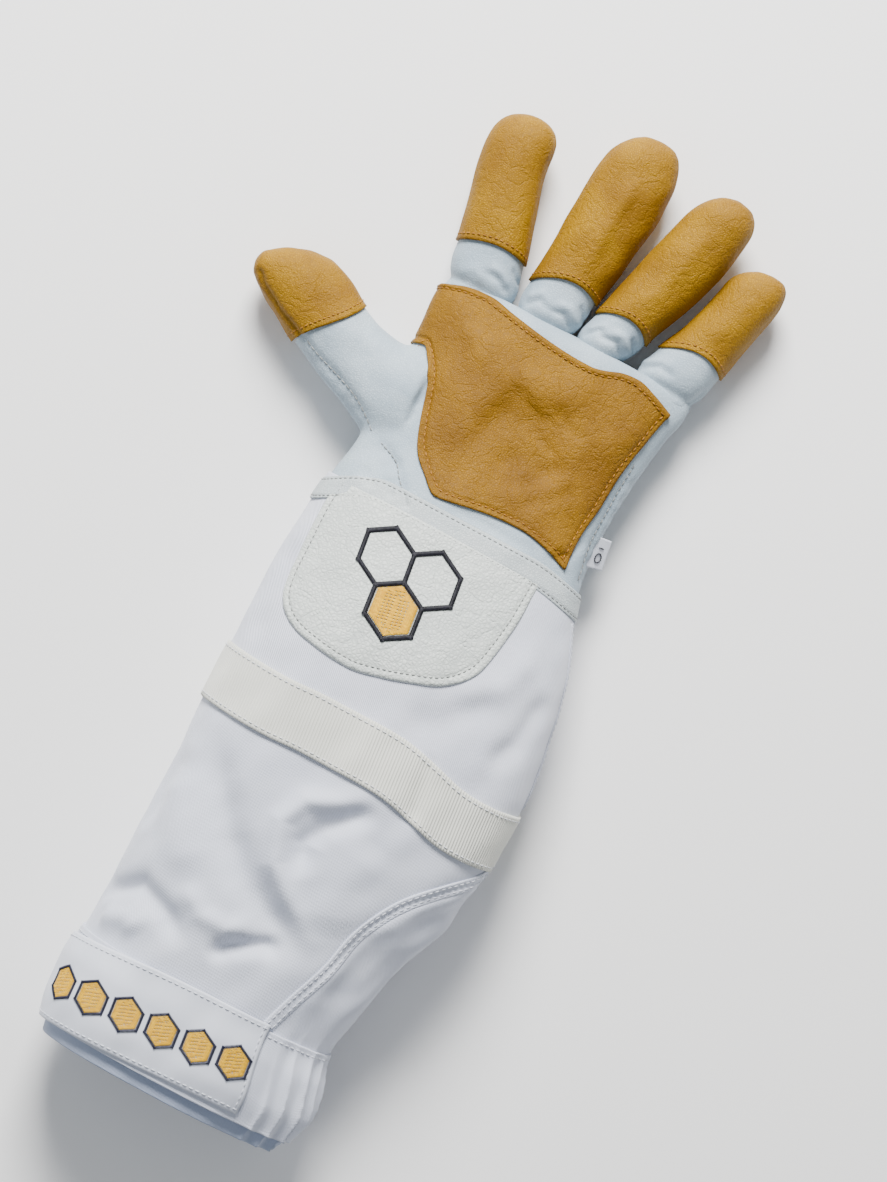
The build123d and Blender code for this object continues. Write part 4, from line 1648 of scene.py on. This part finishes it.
# %% Material tools
def linear(red, green, blue):
    """A screen colour (0 to 255) as linear light."""
    out = [(c / 255 / 12.92 if c <= 10 else ((c / 255 + 0.055) / 1.055) ** 2.4) for c in (red, green, blue)]
    return (*out, 1.0)


def start_material(name, roughness, sheen=0.0):
    material = bpy.data.materials.new(name)
    material.use_nodes = True
    shader = material.node_tree.nodes["Principled BSDF"]
    shader.inputs["Roughness"].default_value = roughness
    shader.inputs["Sheen Weight"].default_value = sheen
    shader.inputs["Sheen Roughness"].default_value = 0.5
    return material, material.node_tree, shader


def use_group(tree, name, vector, **values):
    node = tree.nodes.new("ShaderNodeGroup")
    node.node_tree = groups[name]
    tree.links.new(vector, node.inputs["Vector"])
    for key, value in values.items():
        node.inputs[key.replace("_", " ")].default_value = value
    return node


def mixed(tree, factor, a, b):
    """Two colours mixed by a mask."""
    node = tree.nodes.new("ShaderNodeMix")
    node.data_type = "RGBA"
    tree.links.new(factor, node.inputs[0])
    for value, socket in ((a, node.inputs[6]), (b, node.inputs[7])):
        if isinstance(value, tuple):
            socket.default_value = value
        else:
            tree.links.new(value, socket)
    return node.outputs[2]


def bumped(tree, shader, height, depth):
    """A height turned into a bump of so many mm."""
    bump = tree.nodes.new("ShaderNodeBump")
    bump.inputs["Distance"].default_value = depth * MM
    tree.links.new(height, bump.inputs["Height"])
    tree.links.new(bump.outputs["Normal"], shader.inputs["Normal"])


print("white is", linear(255, 255, 255))

# %% [markdown]
# ## Recipes
# One function per kind of material, so all leathers share one recipe and differ only in
# colour, cell size and depth. The raw edge is fibrous, without a grain.

# %% Leather, cloth, thread and raw edge
def leather(name, light, dark, valley, cell, creases, depth, roughness=0.6, sheen=0.05):
    material, tree, shader = start_material(name, roughness, sheen)
    shader.inputs["Specular IOR Level"].default_value = 0.22
    place = tree.nodes.new("ShaderNodeTexCoord").outputs["Object"]
    grain = use_group(tree, "grain", place, Cell_size=cell, Creases=creases)
    wear = use_group(tree, "wear", place, Size=26.0, Contrast=2.6)
    base = mixed(tree, wear.outputs["Mask"], light, dark)
    shade = math_node(tree, "MULTIPLY", grain.outputs["Valleys"], 0.55)
    tree.links.new(mixed(tree, shade, base, valley), shader.inputs["Base Color"])
    bumped(tree, shader, grain.outputs["Height"], depth)
    return material


def cloth(name, light, dark, pitch, twill, depth, ribs=None, sheen=0.3, roughness=0.9):
    material, tree, shader = start_material(name, roughness, sheen)
    coordinates = tree.nodes.new("ShaderNodeTexCoord")
    printed = coordinates.outputs["UV"]
    if ribs is not None:
        stretch = tree.nodes.new("ShaderNodeMapping")
        stretch.inputs["Scale"].default_value = (1.0, ribs, 1.0)
        tree.links.new(printed, stretch.inputs["Vector"])
        printed = stretch.outputs["Vector"]
    weave = use_group(tree, "weave", printed, Pitch=pitch, Twill=twill)
    wear = use_group(tree, "wear", coordinates.outputs["Object"], Size=45.0, Contrast=2.0)
    base = mixed(tree, math_node(tree, "MULTIPLY", wear.outputs["Mask"], 0.35), light, dark)
    shade = math_node(tree, "MULTIPLY", weave.outputs["Gaps"], 0.5)
    tree.links.new(mixed(tree, shade, base, dark), shader.inputs["Base Color"])
    bumped(tree, shader, weave.outputs["Height"], depth)
    return material


def thread(name, colour, darker):
    """Spun thread: fine blotches of two tones with a light bump, drawn on Object coordinates."""
    material, tree, shader = start_material(name, 0.5)
    shader.inputs["Specular IOR Level"].default_value = 0.3
    place = tree.nodes.new("ShaderNodeTexCoord").outputs["Object"]
    wear = use_group(tree, "wear", place, Size=1.6, Contrast=2.4)
    tree.links.new(mixed(tree, wear.outputs["Mask"], colour, darker), shader.inputs["Base Color"])
    bumped(tree, shader, wear.outputs["Mask"], 0.1)
    return material


def raw_edge():
    """The fibrous cut edge of leather."""
    material, tree, shader = start_material("raw_leather_edge", 0.95)
    place = tree.nodes.new("ShaderNodeTexCoord").outputs["Object"]
    wear = use_group(tree, "wear", place, Size=1.2, Contrast=3.0)
    colour = mixed(tree, wear.outputs["Mask"], linear(92, 62, 30), linear(140, 98, 48))
    tree.links.new(colour, shader.inputs["Base Color"])
    bumped(tree, shader, wear.outputs["Mask"], 0.3)
    return material


print("four recipes")

# %% [markdown]
# ## The glove's colours
# Each leather has a light tone, a dark tone and the colour of its valleys; cloth and thread
# have two tones. White leather is cooler than white cotton, and the webbing is warmer than
# both. The palm patch is a darker tan than the fingertips.

# %% Finishes
finish = {
    "tan": leather(
        "tan_leather", linear(164, 122, 0), linear(134, 94, 0), linear(94, 62, 0),
        cell=1.05, creases=0.7, depth=0.26, sheen=0.0,
    ),
    "patch": leather(
        "patch_leather", linear(146, 104, 0), linear(118, 80, 0), linear(84, 54, 0),
        cell=1.05, creases=0.7, depth=0.26, sheen=0.0,
    ),
    "white_leather": leather(
        "white_leather", linear(184, 198, 206), linear(158, 175, 187), linear(132, 150, 164),
        cell=1.1, creases=0.35, depth=0.16, roughness=0.5,
    ),
    "badge": leather(
        "badge_leather", linear(212, 217, 212), linear(198, 204, 200), linear(168, 176, 174),
        cell=1.9, creases=0.6, depth=0.34, roughness=0.5,
    ),
    "edge": raw_edge(),
    "twill": cloth(
        "cotton_twill", linear(220, 223, 234), linear(188, 195, 214), pitch=1.3, twill=1.0, depth=0.18,
    ),
    "canvas": cloth(
        "cotton_canvas", linear(218, 222, 233), linear(184, 191, 211), pitch=0.95, twill=0.0, depth=0.16,
    ),
    "webbing": cloth(
        "cotton_webbing", linear(228, 228, 219), linear(198, 200, 190),
        pitch=1.5, twill=1.0, depth=0.3, ribs=0.08,
    ),
    "band": leather(
        "band_leather", linear(196, 203, 202), linear(176, 185, 188), linear(146, 156, 162),
        cell=1.2, creases=0.4, depth=0.2, roughness=0.55,
    ),
    "label": cloth(
        "label_satin", linear(222, 226, 236), linear(200, 206, 221),
        pitch=0.5, twill=1.0, depth=0.05, sheen=0.1, roughness=0.45,
    ),
    # The lining is darker and bluer than the canvas: partly its own grey, partly painted shade under the
    # label and the hem.
    "lining": cloth(
        "cuff_lining", linear(176, 187, 208), linear(140, 152, 180), pitch=0.9, twill=0.0, depth=0.16,
    ),
    "dark_thread": thread("dark_thread", linear(34, 34, 44), linear(14, 14, 20)),
    "grey_thread": thread("grey_thread", linear(150, 152, 150), linear(110, 112, 112)),
    "brown_thread": thread("brown_thread", linear(176, 120, 44), linear(120, 78, 26)),
    "white_thread": thread("white_thread", linear(226, 228, 232), linear(190, 194, 204)),
    "gold_thread": thread("gold_thread", linear(236, 188, 24), linear(206, 154, 10)),
    "navy_thread": thread("navy_thread", linear(40, 42, 66), linear(20, 22, 40)),
}
print(len(finish), "materials")

# %% [markdown]
# ## Pieces, materials and moving bodies
# Each piece now gets its materials. A piece on one body is attached to that body. Cloth
# and leather that cross a joint are given the stretch between the two bodies, but are not
# made to bend: their place is only baked in, and they are attached to no body. Layers sewn
# to each other are given exactly the same stretch. Each piece also hides the plain solids of
# the model that it stands for.

# %% Fit the pieces to the moving bodies
WRIST = ("sleeve", "hand", from_wrist(0, 2, 30), from_wrist(0, 24, 30))
THUMB_ROOT = ("hand", "thumb_base", from_wrist(-61, 50, 30), from_wrist(-81, 50, 30))
THUMB_TURN = np.array([-111.15, 75.18])  # where the thumb's own joint lies
THUMB_HEADING = np.array([-0.741, 0.671])


def thumb_point(away):
    return from_wrist(*(THUMB_TURN + away * THUMB_HEADING), 30)


def knuckle_bend(name):
    return ("hand", f"{name}_base", from_wrist(0, 104, 30), from_wrist(0, 122, 30))


def cap_bend(name):
    if name == "thumb":
        return ("thumb_base", "thumb_tip", thumb_point(-7.0), thumb_point(9.0))
    return (f"{name}_base", f"{name}_tip", from_wrist(0, 141, 30), from_wrist(0, 155, 30))


def fit(piece, materials, move, nodes=()):
    """Gives a piece its materials and attaches it to its body; for a bend only its place is baked in. Hides
    the solids it replaces.
    """
    piece.data.materials.clear()
    for name in materials:
        piece.data.materials.append(finish[name])
    if isinstance(move, str):
        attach(piece, move)
    else:
        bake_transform(piece)
    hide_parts(*nodes)


print("the wrist bends over", round((WRIST[3] - WRIST[2])[1] / MM), "mm")

# %% [markdown]
# ## Dressing the bodies
# Every plain soft solid is replaced by the piece that stands for it, so none of them
# shows. Rows of stitches are given the same body or bend as the piece that they sew down.

# %% All pieces
fit(hand_leather, ["white_leather"], WRIST, ["palm_panel", "back_panel", "wrist_elastic"])
fit(thumb_leather, ["white_leather"], THUMB_ROOT, ["thumb_base_front", "thumb_base_back"])
for name, base in finger_bases.items():
    solids = [f"{name}_base_front", f"{name}_base_back"]
    fit(base, ["white_leather"], knuckle_bend(name), solids)
for name, piece in caps.items():
    solids = [f"{name}_cap_front", f"{name}_cap_back", f"{name}_cap_hem"]
    fit(piece, ["tan", "edge"], cap_bend(name), solids)
    fit(hem_rows[name], ["brown_thread"], cap_bend(name))
fit(palm_patch, ["patch", "edge"], WRIST, ["palm_patch"])
fit(patch_row, ["brown_thread"], WRIST)
fit(upper_sleeve, ["twill"], WRIST, ["upper_sleeve_front", "upper_sleeve_back"])
fit(lower_sleeve, ["canvas"], "sleeve", ["lower_sleeve_front", "lower_sleeve_back"])
fit(webbing, ["webbing"], "sleeve", ["webbing_front", "webbing_back"])
fit(wrist_band, ["band"], WRIST, ["wrist_band_front", "wrist_band_back"])
fit(badge, ["badge"], WRIST, ["badge_patch"])
fit(badge_gold, ["gold_thread"], "sleeve", ["badge_fill_thread"])
fit(badge_dark, ["dark_thread"], "sleeve", ["badge_outline_thread"])
fit(casing, ["canvas"], "sleeve", ["cuff_casing", "cuff_elastic"])
fit(lining, ["lining"], "sleeve", ["cuff_lining"])
fit(label, ["label"], "sleeve", ["label_tape"])
fit(label_gold_threads, ["gold_thread"], "sleeve")
fit(label_dark_threads, ["navy_thread"], "sleeve")
fit(seams["right_side_seam_strip"], ["twill"], "sleeve", ["right_side_seam"])
fit(seams["right_front_seam_strip"], ["canvas"], "sleeve")
fit(seams["left_side_seam_strip"], ["canvas"], "sleeve", ["left_side_seam"])
fit(tag, ["label"], WRIST, ["size_tag"])
fit(tag_digits, ["dark_thread"], WRIST)
for row, colour, move in (
    (badge_row, "grey_thread", WRIST), (band_rows, "grey_thread", WRIST),
    (webbing_rows, "white_thread", "sleeve"), (label_rows, "white_thread", "sleeve"),
    (seam_rows, "white_thread", "sleeve"), (casing_row, "white_thread", "sleeve"),
    (thumb_seam_thread, "grey_thread", THUMB_ROOT), (wrist_seam_thread, "grey_thread", WRIST),
    (hand_side_thread, "grey_thread", WRIST),
):
    fit(row, [colour], move)

# %% [markdown]
# ## What the cloth was cut from
# A cloth panel was cut flat to the girth where it lies times its length; here the widths
# of the upper gauntlet and the cuff are worked out. The cuff is cut wider than it ends up, because elastic
# gathers it.

# %% Flat sizes
GATHER = 1.3  # the cuff is cut this much wider than it ends up
cloth_width = float(arm.girth_at(-60)) * MM
cuff_width = float(arm.girth_at(-262)) * MM * GATHER
float(arm.girth_at(-180)) * MM
print("cloth for the upper gauntlet:", round(cloth_width * 1000), "mm wide")

# %% [markdown]
# ## Floor, light and camera
# The glove lies on a plain pale floor under one soft key light and a weak bluish fill. The
# key stands low enough for the folds to throw soft shade. The camera looks straight down
# from two metres, so the long sleeve keeps its proportions, and it is turned about its own
# axis, so that the glove lies aslant in the frame. The floor comes first.

# %% Floor
bpy.ops.object.select_all(action="DESELECT")
bpy.ops.mesh.primitive_plane_add(size=12.0, location=(0, 0, 0))
floor = bpy.context.object
floor.name = "studio_floor"
floor_material, _, floor_shader = start_material("studio_floor", 0.9)
floor_shader.inputs["Base Color"].default_value = linear(250, 250, 250)
floor.data.materials.append(floor_material)

print("the floor is", round(floor.dimensions.x), "m wide")

# %% [markdown]
# ## Light
# Each light is a square that aims at the glove, placed by its angle in the camera's view.
# Its size sets how soft the shade is, and the world's light keeps the shade from going
# black.

# %% Lights
CAMERA_TURN = math.radians(28.0)
VIEW_MIDDLE = from_wrist(5.45, -21.9, 0)
VIEW_HEIGHT, VIEW_DISTANCE, GLOVE_MIDDLE = 0.5629, 2.0, 0.03


def soft_light(name, size, power, colour, azimuth, elevation, distance):
    """A square soft light that aims at the glove; azimuth is in the camera's view, from its right."""
    light = bpy.data.lights.new(name, "AREA")
    light.shape, light.size = "SQUARE", size
    light.energy, light.color = power, colour
    lamp = bpy.data.objects.new(name, light)
    bpy.context.collection.objects.link(lamp)
    angle = azimuth + CAMERA_TURN
    aim = Vector((
        math.cos(angle) * math.cos(elevation), math.sin(angle) * math.cos(elevation), math.sin(elevation)
    ))
    lamp.location = Vector(VIEW_MIDDLE) + aim * distance
    lamp.rotation_euler = aim.to_track_quat("Z", "Y").to_euler()
    return lamp


key = soft_light("key_light", 0.8, 128.0, (1.0, 0.985, 0.96), math.radians(84), math.radians(38), 2.0)
fill = soft_light("fill_light", 2.2, 8.0, (0.84, 0.91, 1.0), math.radians(200), math.radians(50), 2.4)
world = bpy.data.worlds.new("studio_world")
world.use_nodes = True
world.node_tree.nodes["Background"].inputs["Color"].default_value = (0.93, 0.96, 1.0, 1.0)
world.node_tree.nodes["Background"].inputs["Strength"].default_value = 0.40
bpy.context.scene.world = world

print("key light at", round(key.location.z, 2), "m")

# %% [markdown]
# ## Camera
# The lens follows from the height of the view and the distance, so the framing stays right
# if either is changed.

# %% Camera
camera_data = bpy.data.cameras.new("top_camera")
camera = bpy.data.objects.new("top_camera", camera_data)
bpy.context.collection.objects.link(camera)
camera.location = Vector(VIEW_MIDDLE) + Vector((0, 0, GLOVE_MIDDLE + VIEW_DISTANCE))
camera.rotation_euler = (0.0, 0.0, CAMERA_TURN)
camera_data.lens = camera_data.sensor_width / 2 / (VIEW_HEIGHT / 2 / VIEW_DISTANCE)
bpy.context.scene.camera = camera
print("camera lens", round(camera_data.lens, 1), "mm")
